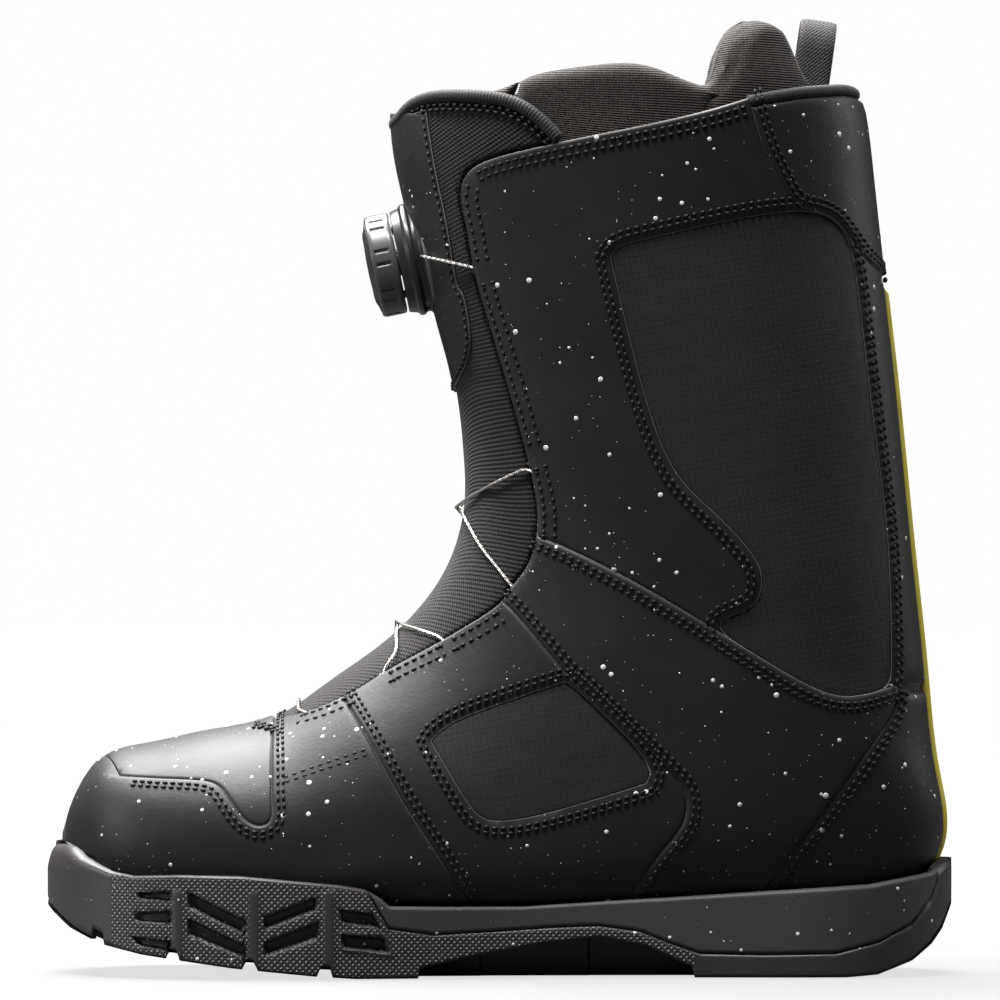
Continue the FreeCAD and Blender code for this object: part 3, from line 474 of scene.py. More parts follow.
def mathNode(tree, op, a, b=None):
    n = node(tree, "ShaderNodeMath", operation=op)
    for k, v in enumerate((a, b)):
        if v is None:
            continue
        if isinstance(v, (int, float)):
            n.inputs[k].default_value = v
        else:
            link(tree, v, n.inputs[k])
    return n.outputs[0]


def bump(tree, shader, height, distance, strength=1.0, after=None):
    n = node(tree, "ShaderNodeBump", Strength=strength, Distance=distance)
    link(tree, height, n.inputs["Height"])
    if after is not None:
        link(tree, after, n.inputs["Normal"])
    link(tree, n.outputs["Normal"], shader.inputs["Normal"])
    return n.outputs["Normal"]


def mixColor(tree, factor, a, b):
    n = node(tree, "ShaderNodeMix", data_type="RGBA")
    link(tree, factor, n.inputs["Factor"])
    for socket, v in ((n.inputs[6], a), (n.inputs[7], b)):
        if isinstance(v, tuple):
            socket.default_value = (*v, 1)
        else:
            link(tree, v, socket)
    return n.outputs[2]


def edgeMask(tree, width):
    a = node(tree, "ShaderNodeAttribute", attribute_name="edge")
    d = mathNode(tree, "ABSOLUTE", a.outputs["Fac"])
    n = node(tree, "ShaderNodeMapRange", **{"From Min": width * 0.5, "From Max": width, "To Min": 1.0,
        "To Max": 0.0})
    link(tree, d, n.inputs["Value"])
    return n.outputs["Result"]


leatherLook = {
    "color": (0.0125, 0.0112, 0.0106),
    "edgeColor": (0.17, 0.16, 0.15),
    "edgeWidth": 0.24,      # mm of pale cut edge
    "rough": 0.50,
    "grain": 900.0,
}


def leatherBuild(edgeColor=None, tone=1.0):
    def build(tree, shader):
        at = objectCoords(tree)
        cloud = noise(tree, at, 28.0, 3.0)
        base = tuple(c * tone for c in leatherLook["color"])
        pale = tuple(c * 1.45 for c in base)
        color = mixColor(tree, cloud, base, pale)
        if edgeColor:
            color = mixColor(tree, edgeMask(tree, leatherLook["edgeWidth"]), color, edgeColor)
        link(tree, color, shader.inputs["Base Color"])
        grain = noise(tree, at, leatherLook["grain"], 2.0)
        folds = noise(tree, at, 60.0, 3.0)
        first = bump(tree, shader, folds, 0.0008, 0.35)
        bump(tree, shader, grain, 0.00012, 0.5, first)
        rough = node(tree, "ShaderNodeMapRange", **{"To Min": leatherLook["rough"] - 0.07,
            "To Max": leatherLook["rough"] + 0.1})
        link(tree, cloud, rough.inputs["Value"])
        link(tree, rough.outputs["Result"], shader.inputs["Roughness"])
        shader.inputs["Specular IOR Level"].default_value = 0.42
    return build


leather = material("upperLeather", leatherLook["color"], 0.5, leatherBuild(leatherLook["edgeColor"]))
leatherPlain = material("upperLeatherPlain", leatherLook["color"], 0.5, leatherBuild())
yellowLeather = material("backstayYellow", (0.74, 0.62, 0.045), 0.5, lambda tree,
    shader: bump(tree, shader, noise(tree, objectCoords(tree), 700.0), 0.0001, 0.5))

ripstopLook = {"color": (0.0095, 0.0080, 0.0058), "lineColor": (0.0035, 0.003, 0.0025), "cell": 0.0019,
    "tilt": 11.0, "line": 0.24}


def ripstopBuild(tree, shader):
    at = objectCoords(tree, turn=(0, math.radians(ripstopLook["tilt"]), 0))
    parts = node(tree, "ShaderNodeSeparateXYZ")
    link(tree, at, parts.inputs[0])
    lines = []
    for axis in ("X", "Z"):
        cell = mathNode(tree, "MULTIPLY", parts.outputs[axis], 1 / ripstopLook["cell"])
        wave = mathNode(tree, "ABSOLUTE", mathNode(tree, "SUBTRACT", mathNode(tree, "FRACT", cell), 0.5))
        lines.append(mathNode(tree, "GREATER_THAN", wave, 0.5 - ripstopLook["line"] / 2))
    grid = mathNode(tree, "MAXIMUM", lines[0], lines[1])
    weave = node(tree, "ShaderNodeTexWave", Scale=700.0, Distortion=0.6, bands_direction="Z")
    link(tree, at, weave.inputs["Vector"])
    weave2 = node(tree, "ShaderNodeTexWave", Scale=700.0, Distortion=0.6, bands_direction="X")
    link(tree, at, weave2.inputs["Vector"])
    fine = mathNode(tree, "MULTIPLY", weave.outputs["Fac"], weave2.outputs["Fac"])
    cloud = noise(tree, objectCoords(tree), 22.0)
    base = mixColor(tree, cloud, ripstopLook["color"], tuple(c * 1.7 for c in ripstopLook["color"]))
    link(tree, mixColor(tree, grid, base, ripstopLook["lineColor"]), shader.inputs["Base Color"])
    height = mathNode(tree, "SUBTRACT", mathNode(tree, "MULTIPLY", fine, 0.5), grid)
    first = bump(tree, shader, noise(tree, objectCoords(tree), 38.0, 2.0), 0.0016, 0.5)
    bump(tree, shader, height, 0.00016, 0.8, first)
    shader.inputs["Sheen Weight"].default_value = 0.04


ripstop = material("ripstop", ripstopLook["color"], 0.66, ripstopBuild)

# the high tone is a painted highlight on the raised weave; the dips keep the darker colour as painted shade
meshLook = {"color": (0.0028, 0.0018, 0.0015), "high": (0.015, 0.0105, 0.009), "pitch": 2.3}


def wovenBuild(color, high, pitch, depth=0.0005, squash=1.0):
    def build(tree, shader):
        at = surfCoords(tree)
        parts = node(tree, "ShaderNodeSeparateXYZ")
        link(tree, at, parts.inputs[0])
        k = 100.0 * 2 * math.pi / pitch     # surf coordinates are in tens of mm, as metres
        u = mathNode(tree, "MULTIPLY", parts.outputs["X"], k)
        v = mathNode(tree, "MULTIPLY", parts.outputs["Y"], k * squash)
        su, sv = mathNode(tree, "SINE", u), mathNode(tree, "SINE", v)
        checks = mathNode(tree, "MULTIPLY", su, sv)
        height = mathNode(tree, "ADD", mathNode(tree, "MULTIPLY", checks, 0.5), 0.5)
        fuzz = noise(tree, objectCoords(tree), 1500.0, 2.0)
        # painted shade and highlight: the weave is lighter on its raised yarns and darker in its dips,
        # following the bump height, with random fuzz
        reliefShade = mathNode(tree, "MULTIPLY", height, mathNode(tree, "ADD", fuzz, 0.35))
        link(tree, mixColor(tree, reliefShade, color, high), shader.inputs["Base Color"])
        bump(tree, shader, mathNode(tree, "ADD", height, mathNode(tree, "MULTIPLY", fuzz, 0.3)), depth, 1.0)
        shader.inputs["Sheen Weight"].default_value = 0.08
    return build


tongueMesh = material("tongueMesh", meshLook["color"], 0.85,
    wovenBuild(meshLook["color"], meshLook["high"], meshLook["pitch"]))

# the high tone is partly the lighter heathered yarn and partly a painted highlight on the rib tops
knitLook = {"color": (0.012, 0.010, 0.0088), "high": (0.060, 0.050, 0.045), "row": 0.95}


def knitBuild(tree, shader):
    at = objectCoords(tree)
    surf = surfCoords(tree)
    parts = node(tree, "ShaderNodeSeparateXYZ")
    link(tree, surf, parts.inputs[0])
    k = 100.0 * 2 * math.pi
    rows = mathNode(tree, "SINE", mathNode(tree, "MULTIPLY", parts.outputs["Y"], k / knitLook["row"]))
    loops = mathNode(tree, "SINE", mathNode(tree, "MULTIPLY", parts.outputs["X"], k / 1.1))
    heather = noise(tree, at, 650.0, 3.0, 0.7)
    ribs = mathNode(tree, "ADD", mathNode(tree, "MULTIPLY", rows, 0.35), 0.5)
    height = mathNode(tree, "ADD", ribs, mathNode(tree, "MULTIPLY", loops, 0.10))
    # partly real heather, partly painted shade: the rib grooves are painted darker and the rib tops
    # lighter, following the bump height
    mix = ramp(tree, mathNode(tree, "MULTIPLY", mathNode(tree, "ADD", height, 0.2), heather),
        [(0.18, knitLook["color"]), (0.62, knitLook["high"])])
    link(tree, mix, shader.inputs["Base Color"])
    bump(tree, shader, mathNode(tree, "ADD", height, mathNode(tree, "MULTIPLY", heather, 0.5)), 0.0004, 0.9)
    shader.inputs["Sheen Weight"].default_value = 0.12


knit = material("linerKnit", knitLook["color"], 0.9, knitBuild)
# the second colour of the weave is a painted highlight on the raised yarns
lining = material("liningCloth", (0.05, 0.046, 0.042), 0.9,
    wovenBuild((0.03, 0.028, 0.026), (0.075, 0.07, 0.064), 1.2, 0.0002))


def cordBuild(tree, shader):
    cloud = noise(tree, objectCoords(tree), 900.0, 2.0)
    link(tree, mixColor(tree, cloud, (0.006, 0.0055, 0.005), (0.022, 0.020, 0.018)),
        shader.inputs["Base Color"])
    bump(tree, shader, cloud, 0.00015, 0.8)
    shader.inputs["Sheen Weight"].default_value = 0.08


cordCloth = material("bindingCord", (0.03, 0.027, 0.024), 0.75, cordBuild)
# the second colour of the weave is a painted highlight on the raised yarns
webbing = material("webbing", (0.09, 0.084, 0.078), 0.85,
    wovenBuild((0.018, 0.016, 0.015), (0.075, 0.07, 0.066), 1.3, 0.0003))
# near-black thread; its dark tone also stands in for the shade in the stitch holes
thread = material("thread", (0.0022, 0.002, 0.002), 0.6, lambda tree,
    shader: bump(tree, shader, noise(tree, objectCoords(tree), 2500.0), 0.0001, 0.6))
paint = material("paintSpeckle", (0.86, 0.86, 0.86), 0.45, lambda tree,
    shader: bump(tree, shader, noise(tree, objectCoords(tree), 2000.0), 0.00005, 0.3))

# the tread tone paints a highlight on the raised stud dots, and the pocket colour paints shade into the
# wall pockets
rubberLook = {"color": (0.038, 0.034, 0.035), "rough": 0.42, "studs": 2.1, "treadTone": 4.5,
    "pocketColor": (0.012, 0.011, 0.011)}


def rubberBuild(studs=True, tone=1.0):
    def build(tree, shader):
        at = objectCoords(tree)
        cloud = noise(tree, at, 30.0, 3.0)
        base = tuple(c * tone for c in rubberLook["color"])
        plain = mixColor(tree, cloud, base, tuple(c * 1.5 for c in base))
        link(tree, plain, shader.inputs["Base Color"])
        fine = noise(tree, at, 1100.0, 2.0)
        first = bump(tree, shader, fine, 0.0001, 0.5)
        if studs:
            surf = surfCoords(tree)
            parts = node(tree, "ShaderNodeSeparateXYZ")
            link(tree, surf, parts.inputs[0])
            k = 100.0 * 2 * math.pi / rubberLook["studs"]
            u = mathNode(tree, "COSINE", mathNode(tree, "MULTIPLY",
                mathNode(tree, "ADD", parts.outputs["X"], parts.outputs["Y"]), k))
            v = mathNode(tree, "COSINE", mathNode(tree, "MULTIPLY",
                mathNode(tree, "SUBTRACT", parts.outputs["X"], parts.outputs["Y"]), k))
            dots = mathNode(tree, "MAXIMUM", mathNode(tree, "MULTIPLY", mathNode(tree, "ADD", u, v), 0.5),
                0.0)
            mask = node(tree, "ShaderNodeAttribute", attribute_name="studs")
            hollow = node(tree, "ShaderNodeAttribute", attribute_name="hollow")
            raisedDots = mathNode(tree, "MULTIPLY", dots, mask.outputs["Fac"])
            bump(tree, shader, raisedDots, 0.0008, 1.0, first)
            # painted highlight: the raised stud dots are painted several times lighter where the bump rises
            lit = mixColor(tree, mathNode(tree, "MULTIPLY", raisedDots, 1.4), plain,
                tuple(c * rubberLook["treadTone"] for c in base))
            # painted shade: the wall pockets are painted darker the deeper they are cut
            link(tree, mixColor(tree, hollow.outputs["Fac"], lit, rubberLook["pocketColor"]),
                shader.inputs["Base Color"])
    return build


outsoleRubber = material("outsoleRubber", rubberLook["color"], rubberLook["rough"], rubberBuild(True))
midsoleFoam = material("midsoleFoam", rubberLook["color"], 0.58, rubberBuild(False, 1.25))
knobGloss = material("knobPlastic", (0.055, 0.054, 0.054), 0.20, lambda tree,
    shader: bump(tree, shader, noise(tree, objectCoords(tree), 500.0), 0.00004, 0.3))
gripRubber = material("gripRubber", (0.085, 0.082, 0.080), 0.30, lambda tree,
    shader: bump(tree, shader, noise(tree, objectCoords(tree), 900.0), 0.00006, 0.4))
housingDark = material("housingPlastic", (0.022, 0.021, 0.020), 0.30, lambda tree,
    shader: bump(tree, shader, noise(tree, objectCoords(tree), 600.0), 0.00005, 0.3))
housingGrey = material("housingGrey", (0.115, 0.112, 0.118), 0.42, lambda tree,
    shader: bump(tree, shader, noise(tree, objectCoords(tree), 700.0), 0.00006, 0.4))
spoolPlastic = material("spoolPlastic", (0.18, 0.18, 0.18), 0.4, lambda tree,
    shader: bump(tree, shader, noise(tree, objectCoords(tree), 600.0), 0.00005, 0.3))
steel = material("dialSteel", (0.56, 0.55, 0.54), 0.28, lambda tree,
    shader: bump(tree, shader, noise(tree, objectCoords(tree), 1200.0), 0.00003, 0.3), 1.0)
shankPlate = material("shankPlate", (0.55, 0.52, 0.46), 0.35, lambda tree,
    shader: bump(tree, shader, noise(tree, objectCoords(tree, (1, 8, 8)), 150.0), 0.0001, 0.3))
boardFibre = material("boardFibre", (0.42, 0.38, 0.31), 0.8, lambda tree,
    shader: bump(tree, shader, noise(tree, objectCoords(tree), 400.0), 0.0002, 0.5))


def laceBuild(tree, shader):
    surf = surfCoords(tree)
    parts = node(tree, "ShaderNodeSeparateXYZ")
    link(tree, surf, parts.inputs[0])
    twist = mathNode(tree, "ADD", mathNode(tree, "MULTIPLY", parts.outputs["X"], 2 * math.pi * 7),
        mathNode(tree, "MULTIPLY", parts.outputs["Y"], 2600.0))
    strands = mathNode(tree, "SINE", twist)
    bump(tree, shader, strands, 0.00008, 0.8)


laceSteel = material("laceSteel", (0.50, 0.48, 0.46), 0.32, laceBuild, 0.75)
print("materials ready")


cuffEdge = [
    (84, 296.5), (70, 292), (48, 287), (24.5, 282.5), (1.5, 277.5), (-8, 274.3), (-12, 270.5), (-13.5, 266),
    (-13, 260), (-10.8, 250), (-9.3, 240), (-6.5, 229.5), (-0.5, 210), (6.3, 186.5), (11.5, 166.5),
        (13, 156), (12.2, 146.5),
]
ankleEdge = [(12.2, 146.5), (10, 139.5), (6.5, 134.8), (3, 130.5), (0, 125.5), (-19, 114), (-40, 102.8),
    (-48, 97.2), (-64, 89.5), (-77.3, 86.6)]
collarTop = [(84, 297.5), (100, 300.7), (111, 302), (119.5, 303), (123.6, 301.5)]
soleTop = [
    (-150.5, 44.5), (-148, 43.5), (-143, 40.3), (-131.5, 35.7), (-124, 34.3), (-108, 34.8), (-87, 34.5),
        (-70, 33),
    (-54, 31.5), (-45, 30), (-40, 27), (-37, 24.3), (-19, 24), (8.5, 24), (41, 26), (56, 26.8), (91, 29),
        (125.5, 31),
    (147.5, 34.8), (153.5, 39),
]
strapTop = [(12.5, 149), (21, 146), (43, 135.2), (67, 121.2), (93.5, 104.6), (103.5, 99), (112.5, 95.2),
    (121, 94.5), (136, 98.5)]
strapLow = [(1, 127.1), (4.8, 123.9), (22.5, 102.5), (25.2, 101.2), (58.5, 68.2), (62.5, 64), (63.7, 58),
    (62, 50.5), (51.5, 38.7), (40, 19)]
heelEdge = [(136, 97), (133.5, 88.3), (125.5, 77.7), (117, 65.7), (108, 53.5), (99.5, 42.8), (86, 22)]
randEdge = [
    (-141, 72.2), (-138, 69.2), (-129, 67.7), (-115, 67.1), (-99, 66.7), (-94, 64.7), (-90.7, 60),
        (-86.6, 54),
    (-82, 51.2), (-78, 51.8), (-76.3, 55), (-76.8, 60),
]
seam = [(-53, 94.6), (-44, 80.4), (-39.7, 72.2), (-32, 58.5), (-23.5, 45.8), (-15, 32.5), (-7, 19)]
upperWindow = [
    (37.5, 243), (40, 246.7), (54, 250), (82, 256.3), (102, 259), (111.5, 257.6), (117.5, 252.5),
        (121, 242.6),
    (124, 218), (126.6, 195.7), (130, 170.4), (132.6, 148.5), (133.4, 129.3), (133.8, 104), (132.6, 98.6),
    (129, 96.4), (121, 94), (113, 94.4), (104.5, 98), (94, 104), (70.5, 118.9), (84, 124.2), (87.3, 126.8),
    (89, 132.8), (88, 139.6), (82, 147.5), (75, 154.7), (62.6, 166), (55.8, 176.6), (49.6, 194),
        (42.8, 220),
]
lowerWindow = [
    (-23, 80), (-20, 83.5), (-12, 88.3), (20.5, 99.4), (24, 100), (56.5, 67.8), (38.3, 61.9), (21, 56.8),
    (8.6, 53.7), (-1.7, 52.7), (-6.5, 54.4), (-10.3, 58.5),
]
shieldEdge = [(-25.6, 298), (-25, 291.5), (-22.2, 273.5), (-17.8, 253.5), (-15.1, 234), (-12.3, 231),
    (-10, 217.5), (-10.3, 210), (-14, 202.5), (-16.4, 198.6)]
rearCollar = [(84, 298), (87.6, 284.3), (92, 274), (98, 262.8), (102, 259.8), (108, 258.7), (114, 256.3),
    (119.5, 249.8), (124.5, 243), (130.5, 238.5), (133.6, 236)]
tongueTop = [(21, 283.2), (14, 291.2), (8, 295.6), (0.5, 299), (-23.6, 300.5), (-30, 298.6), (-34.5, 295),
    (-36.6, 289.5)]


def sideLine(points, form=outer, spacing=1.3, soften=2):
    return fromSide(form, smoothLine(points, spacing, soften=soften))


def joined(*lines):
    out = np.vstack(lines)
    keep = np.ones(len(out), bool)
    step = np.linalg.norm((out - np.roll(out, 1, axis=0)) * domain, axis=1)
    keep[step < 0.25] = False
    return out[keep]


def across(sb0, sb1, count=24):
    return sb0 + (sb1 - sb0) * np.linspace(0, 1, count)[:, None]


def heightAtBack(z, s=-1.0):
    b = np.linspace(0.3, 1, 2000)
    return float(b[np.argmin(np.abs(sample(outer, np.full(2000, s), b)[:, 2] - z))])


def alongFront(x=None, z=None, form=outer, low=0.0, high=1.0):
    b = np.linspace(low, high, 3000)
    p = sample(form, np.zeros(3000), b)
    return float(b[np.argmin(np.abs(p[:, 0] - x) if x is not None else np.abs(p[:, 2] - z))])


sides = {"Lateral": (-1, "lateral"), "Medial": (1, "medial")}


def between(line, a, b, form=outer):
    ends = fromSide(form, [a, b])
    i, j = (int(np.argmin(np.linalg.norm((line - e) * domain, axis=1))) for e in ends)
    return line[i:j + 1] if i <= j else line[j:i + 1][::-1]


cuffFront = sideLine(cuffEdge)
ankleFront = sideLine(ankleEdge)
frontEdge = np.vstack([cuffFront, ankleFront[1:]])
soleLow = sideLine([(x, z - 6) for x, z in soleTop])
strapTopLine = sideLine(strapTop)
strapLowLine = sideLine(strapLow)
heelLine = sideLine(heelEdge)
seamLine = sideLine(seam)
collarLine = sideLine(rearCollar)
throatB = float(fromSide(outer, [(-77.4, 84)])[0, 1])
randStart = np.array([[0.0, alongFront(z=72.4, high=0.25)]])
randLine = np.vstack([randStart, sideLine(randEdge[2:])])
stayEdgeB = np.linspace(heightAtBack(25), heightAtBack(236), 90)
scan = np.linspace(-1, -0.7, 160)
stayEdge = []
for b in stayEdgeB:
    y = sample(outer, scan, np.full(160, b))[:, 1]
    stayEdge.append((float(np.interp(-9.0, y[::-1], scan[::-1])), b))
stayEdge = np.array(stayEdge)


def stayBetween(z0, z1):
    z = onForm(outer, stayEdge)[:, 2]
    low, high = min(z0, z1), max(z0, z1)
    part = stayEdge[(z >= low) & (z <= high)]
    return part if z0 < z1 else part[::-1]


pieces = {}


def keepPiece(obj, body, slotName, *replaced, soft=None):
    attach(obj, body)
    if replaced:
        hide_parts(*replaced)
    pieces[obj.name] = obj
    return obj


def bothSides(name, loop, slotName, material, holes=(), cad=None, **settings):
    for side, sign in (("Lateral", 1), ("Medial", -1)):
        flip = np.array([sign, 1])
        obj = panel(name + side, outer, loop * flip, 1.5, 0.0, material=material,
            holes=[h * flip for h in holes], **settings)
        keepPiece(obj, "boot", slotName, *(([cad + "_" + side.lower()]) if cad else []))


def raised(amount):
    return lambda flat, surface, away: np.full(len(flat), amount) * np.clip(away / 1.0, 0.6, 1)


# toe box: top of the toes, cut off at the throat
sideUp = across(randLine[-1], np.array([0.0, throatB]), 50)
sideUp[:, 1] = np.linspace(randLine[-1, 1], throatB, 50) ** 1.0
toeHalf = np.vstack([randLine, sideUp[1:-1]])
toeBox = keepPiece(panel("toeBox", outer, joined(mirrorFront(toeHalf)), 1.5, 0.0, material=leather), "boot",
    "upper_leather", "toe_box")

# toe rand: wraps the toes above the sole, closed over the tip
tipB = 0.002
soleToe = between(soleLow, (-150, 38), (-77.4, 27))
soleToe = soleToe[soleToe[:, 1] > tipB + 0.002]
toeEnd = np.array([[soleToe[0, 0], tipB]])
vampTop = between(ankleFront, (-77.3, 86.6), (-53, 94.8))
soleVamp = between(soleLow, (-150, 38), (-9, 18))
soleVamp = soleVamp[soleVamp[:, 1] > tipB + 0.002]
lobe = np.stack([np.linspace(randLine[-1, 0], vampTop[0, 0], 40), np.full(40, throatB)], 1)
lobe[:, 1] = np.linspace(randLine[-1, 1], vampTop[0, 1], 40)
guardHalf = np.vstack([across(np.array([0.0, tipB]), toeEnd[0], 24)[1:], soleVamp,
    between(seamLine, (-9, 22), (-53, 94.6)), vampTop[::-1], lobe[::-1][1:-1], randLine[::-1][:-1],
    randStart])
loopGuard = joined(np.vstack([guardHalf, (guardHalf * [-1, 1])[::-1][1:]]))
mudguard = panel("mudguard", outer, loopGuard, 1.5, 0.0, material=leather, relief=raised(0.35))
keepPiece(mudguard, "boot", "upper_leather", "toe_rand", "vamp_lateral", "vamp_medial")
tipRing = onForm(outer, np.stack([np.linspace(-1, 1, 60, endpoint=False), np.full(60, tipB)], 1), -0.3)
tipMid = tipRing.mean(0) + [-0.8, 0, 0]
tipVerts = np.vstack([tipRing, (tipRing + tipMid) / 2 + [-0.55, 0, 0], tipMid[None], tipRing + [1.4, 0, 0],
    (tipMid + [2.0, 0, 0])[None]])
tipFaces = []
for k in range(60):
    m = (k + 1) % 60
    tipFaces += [[k, m, 60 + m, 60 + k], [60 + k, 60 + m, 120], [m, k, 121 + k, 121 + m],
        [121 + m, 121 + k, 181]]
tip = newMesh("toeRandTip", tipVerts, tipFaces, leatherPlain)
bm = bmesh.new()
bm.from_mesh(tip.data)
bmesh.ops.recalc_face_normals(bm, faces=bm.faces)
bm.to_mesh(tip.data)
bm.free()
keepPiece(tip, "boot", "upper_leather")

# vamp sides, quarters, straps, heel counters, cuff
quarterTop = between(ankleFront, (-53, 94.8), (1, 127.1))
quarterLoop = joined(quarterTop, between(strapLowLine, (1, 127.1), (40, 19)),
    between(soleLow, (40, 20), (-9, 18)), between(seamLine, (-9, 22), (-53, 94.6)))
lowerHole = sideLine(lowerWindow + lowerWindow[:1])[:-1]
bothSides("quarter", quarterLoop, "upper_leather", leather, holes=[lowerHole], cad="quarter",
    relief=raised(0.2))
strapFront = between(ankleFront, (1, 127.1), (12.2, 147))
strapLoop = joined(strapFront, strapTopLine, between(heelLine, (136, 97), (86, 22)),
    between(soleLow, (87, 23), (40, 20)), between(strapLowLine, (40, 19), (1, 127.1)))
bothSides("strap", strapLoop, "upper_leather", leather, cad="strap", relief=raised(0.45))
counterLoop = joined(heelLine, between(soleLow, (87, 23), (147, 29)), stayBetween(30, 97))
bothSides("heelCounter", counterLoop, "upper_leather", leather, cad="heel_counter", relief=raised(0.1))
upperHole = sideLine(upperWindow + upperWindow[:1])[:-1]
collarFront = collarLine[collarLine[:, 0] > stayEdge[-1, 0] - 0.01]
cuffLoop = joined(cuffFront, strapTopLine, stayBetween(98, 236), collarFront[::-1])
bothSides("cuff", cuffLoop, "upper_leather", leather, holes=[upperHole], cad="cuff")
print("panels ready")

collarTopLine = sideLine([(x, z - 4.3) for x, z in collarTop])
rearHalf = np.vstack([collarTopLine[::-1], collarLine])
rearHalf = rearHalf[rearHalf[:, 0] > -0.999]
rearLoop = joined(mirrorBack(rearHalf))
rear = panel("rearCollar", outer, rearLoop, 1.5, 0.0, material=leather, relief=raised(0.4))
keepPiece(rear, "boot", "upper_leather", "rear_collar")
stayLoop = joined(mirrorBack(stayEdge[:-1]))
backstay = panel("backstayStrip", outer, stayLoop, 1.5, 0.0, material=yellowLeather, relief=raised(0.9))
keepPiece(backstay, "boot", "backstay_leather", "backstay")

for name, hole, cad in (("windowUpper", upperHole, "window_upper"),
    ("windowLower", lowerHole, "window_lower")):
    for side, sign in (("Lateral", 1), ("Medial", -1)):
        obj = panel(name + side, outer, hole * [sign, 1], 1.5, 0.9, ease=0.5, material=ripstop, grid=2.2)
        keepPiece(obj, "boot", "ripstop", cad + "_" + side.lower())

# lining behind the panels, with the padded collar
bThroatLine = np.array([[0.0, throatB]])
liningFront = joined(frontEdge, across(frontEdge[-1], bThroatLine[0], 14)[1:])
down = np.stack([np.zeros(60), np.linspace(throatB, 0.004, 60)], 1)
collarSeamTop = sideLine([(x, z - 1.0) for x, z in collarTop])
liningRear = collarSeamTop[collarSeamTop[:, 0] > -0.999]
liningOut = np.vstack([liningRear[::-1], liningFront, down[1:]])
liningLoop = joined(np.vstack([liningOut, np.stack([np.linspace(0, -2, 120)[1:-1], np.full(118, 0.004)], 1),
    (np.array([-2, 0]) + liningOut * [-1, 1])[::-1]]))
bootLining = panel("bootLining", outer, liningLoop, 4.05, 1.55, ease=1.0, grid=4.5, material=lining)
keepPiece(bootLining, "boot", "lining_foam", "lining_foot", "lining_leg", soft=0.7)
print("lining ready")

# outer tongue: mesh body, smooth facing on its front, corded top edge
def tongueSide(away=0.5):
    line = frontEdge[frontEdge[:, 1] > throatB]
    line = line[onForm(outer, line)[:, 2] < 284]
    return shiftedLine(outer, line, -away, closed=False)


edgeOut = tongueSide(0.55)
if onForm(outer, edgeOut[:1])[0, 0] > onForm(outer, cuffFront[:1])[0, 0]:
    edgeOut = tongueSide(-0.55)
halfway = edgeOut[len(edgeOut) // 2]
beside = frontEdge[np.argmin(np.abs(frontEdge[:, 1] - halfway[1]))]
if abs(halfway[0]) > abs(beside[0]):
    edgeOut = tongueSide(-0.55)
tongueLow = sideLine([(x, z - 4.4) for x, z in tongueTop])
tongueLow = tongueLow[tongueLow[:, 0] < -0.02]
topMid = np.array([[0.0, tongueLow[-1, 1]]])
sideCut = edgeOut[np.argmin(np.linalg.norm((edgeOut - tongueLow[0]) * domain, axis=1)):]
tongueHalf = np.vstack([topMid, tongueLow[::-1], sideCut])
tongueLoop = joined(mirrorFront(tongueHalf))
tongueBody = panel("tongueBody", outer, tongueLoop, 5.6, 1.05, ease=1.6, edgeRise=0.55, grid=2.4,
    material=tongueMesh)
keepPiece(tongueBody, "tongue", "tongue_mesh", "tongue_body", soft=0.6)
shieldSide = sideLine(shieldEdge)
shieldSide = shieldSide[shieldSide[:, 1] < tongueLow[-1, 1] + 0.03]
zShield = onForm(outer, shieldSide)[:, 2]
shieldSide = shieldSide[zShield < 293.5]
lowMid = np.array([[0.0, alongFront(z=196, low=0.4)]])
shieldHalf = np.vstack([[[0.0, shieldSide[0, 1]]], shieldSide, lowMid])
shield = panel("tongueShield", outer, joined(mirrorFront(shieldHalf)), 1.05, 0.0, ease=0.9, grid=2.4,
    material=leather)
keepPiece(shield, "tongue", "upper_leather", "tongue_shield")
print("tongue ready")


def sweep(name, path, up, across_, deep, material, pitch=1.6, rib=0.09, sides=18, closed=False, square=2.4):
    path, up = np.asarray(path), np.asarray(up)
    tangent = np.roll(path, -1, axis=0) - np.roll(path, 1, axis=0) if closed else np.gradient(path, axis=0)
    tangent /= np.linalg.norm(tangent, axis=1, keepdims=True)
    side = np.cross(tangent, up)
    side /= np.linalg.norm(side, axis=1, keepdims=True)
    up = np.cross(side, tangent)
    run = np.concatenate([[0], np.cumsum(np.linalg.norm(np.diff(path, axis=0), axis=1))])
    t = np.arange(sides) / sides * 2 * math.pi
    c, s_ = np.cos(t), np.sin(t)
    shapeA = np.sign(c) * np.abs(c) ** (2 / square)
    shapeB = np.sign(s_) * np.abs(s_) ** (2 / square)
    wave = 1 + rib * (np.abs(np.sin(math.pi * run / pitch)) - 0.7) if pitch else np.ones(len(run))
    ends = np.ones(len(run))
    if not closed:
        for k in range(len(run)):
            d = min(run[k], run[-1] - run[k])
            ends[k] = math.sqrt(max(1 - (1 - min(d / 1.6, 1)) ** 2, 0.03))
    r = (wave * ends)[:, None, None]
    verts = path[:, None] + (side[:, None] * shapeA[None, :, None] * across_ + up[:, None] * shapeB[None, :,
        None] * deep) * r
    count = len(path)
    faces = []
    for k in range(count if closed else count - 1):
        m = (k + 1) % count
        for j in range(sides):
            faces.append([k * sides + j, k * sides + (j + 1) % sides, m * sides + (j + 1) % sides,
                m * sides + j])
    if not closed:
        faces.append(list(range(sides))[::-1])
        faces.append([(count - 1) * sides + j for j in range(sides)])
    uv = np.stack([np.repeat(run, sides), np.tile(np.arange(sides) / sides * 2 * math.pi * across_, count)],
        1) * mm * 10
    obj = newMesh(name, verts.reshape(-1, 3), faces, material, uv)
    outwards(obj)
    return obj


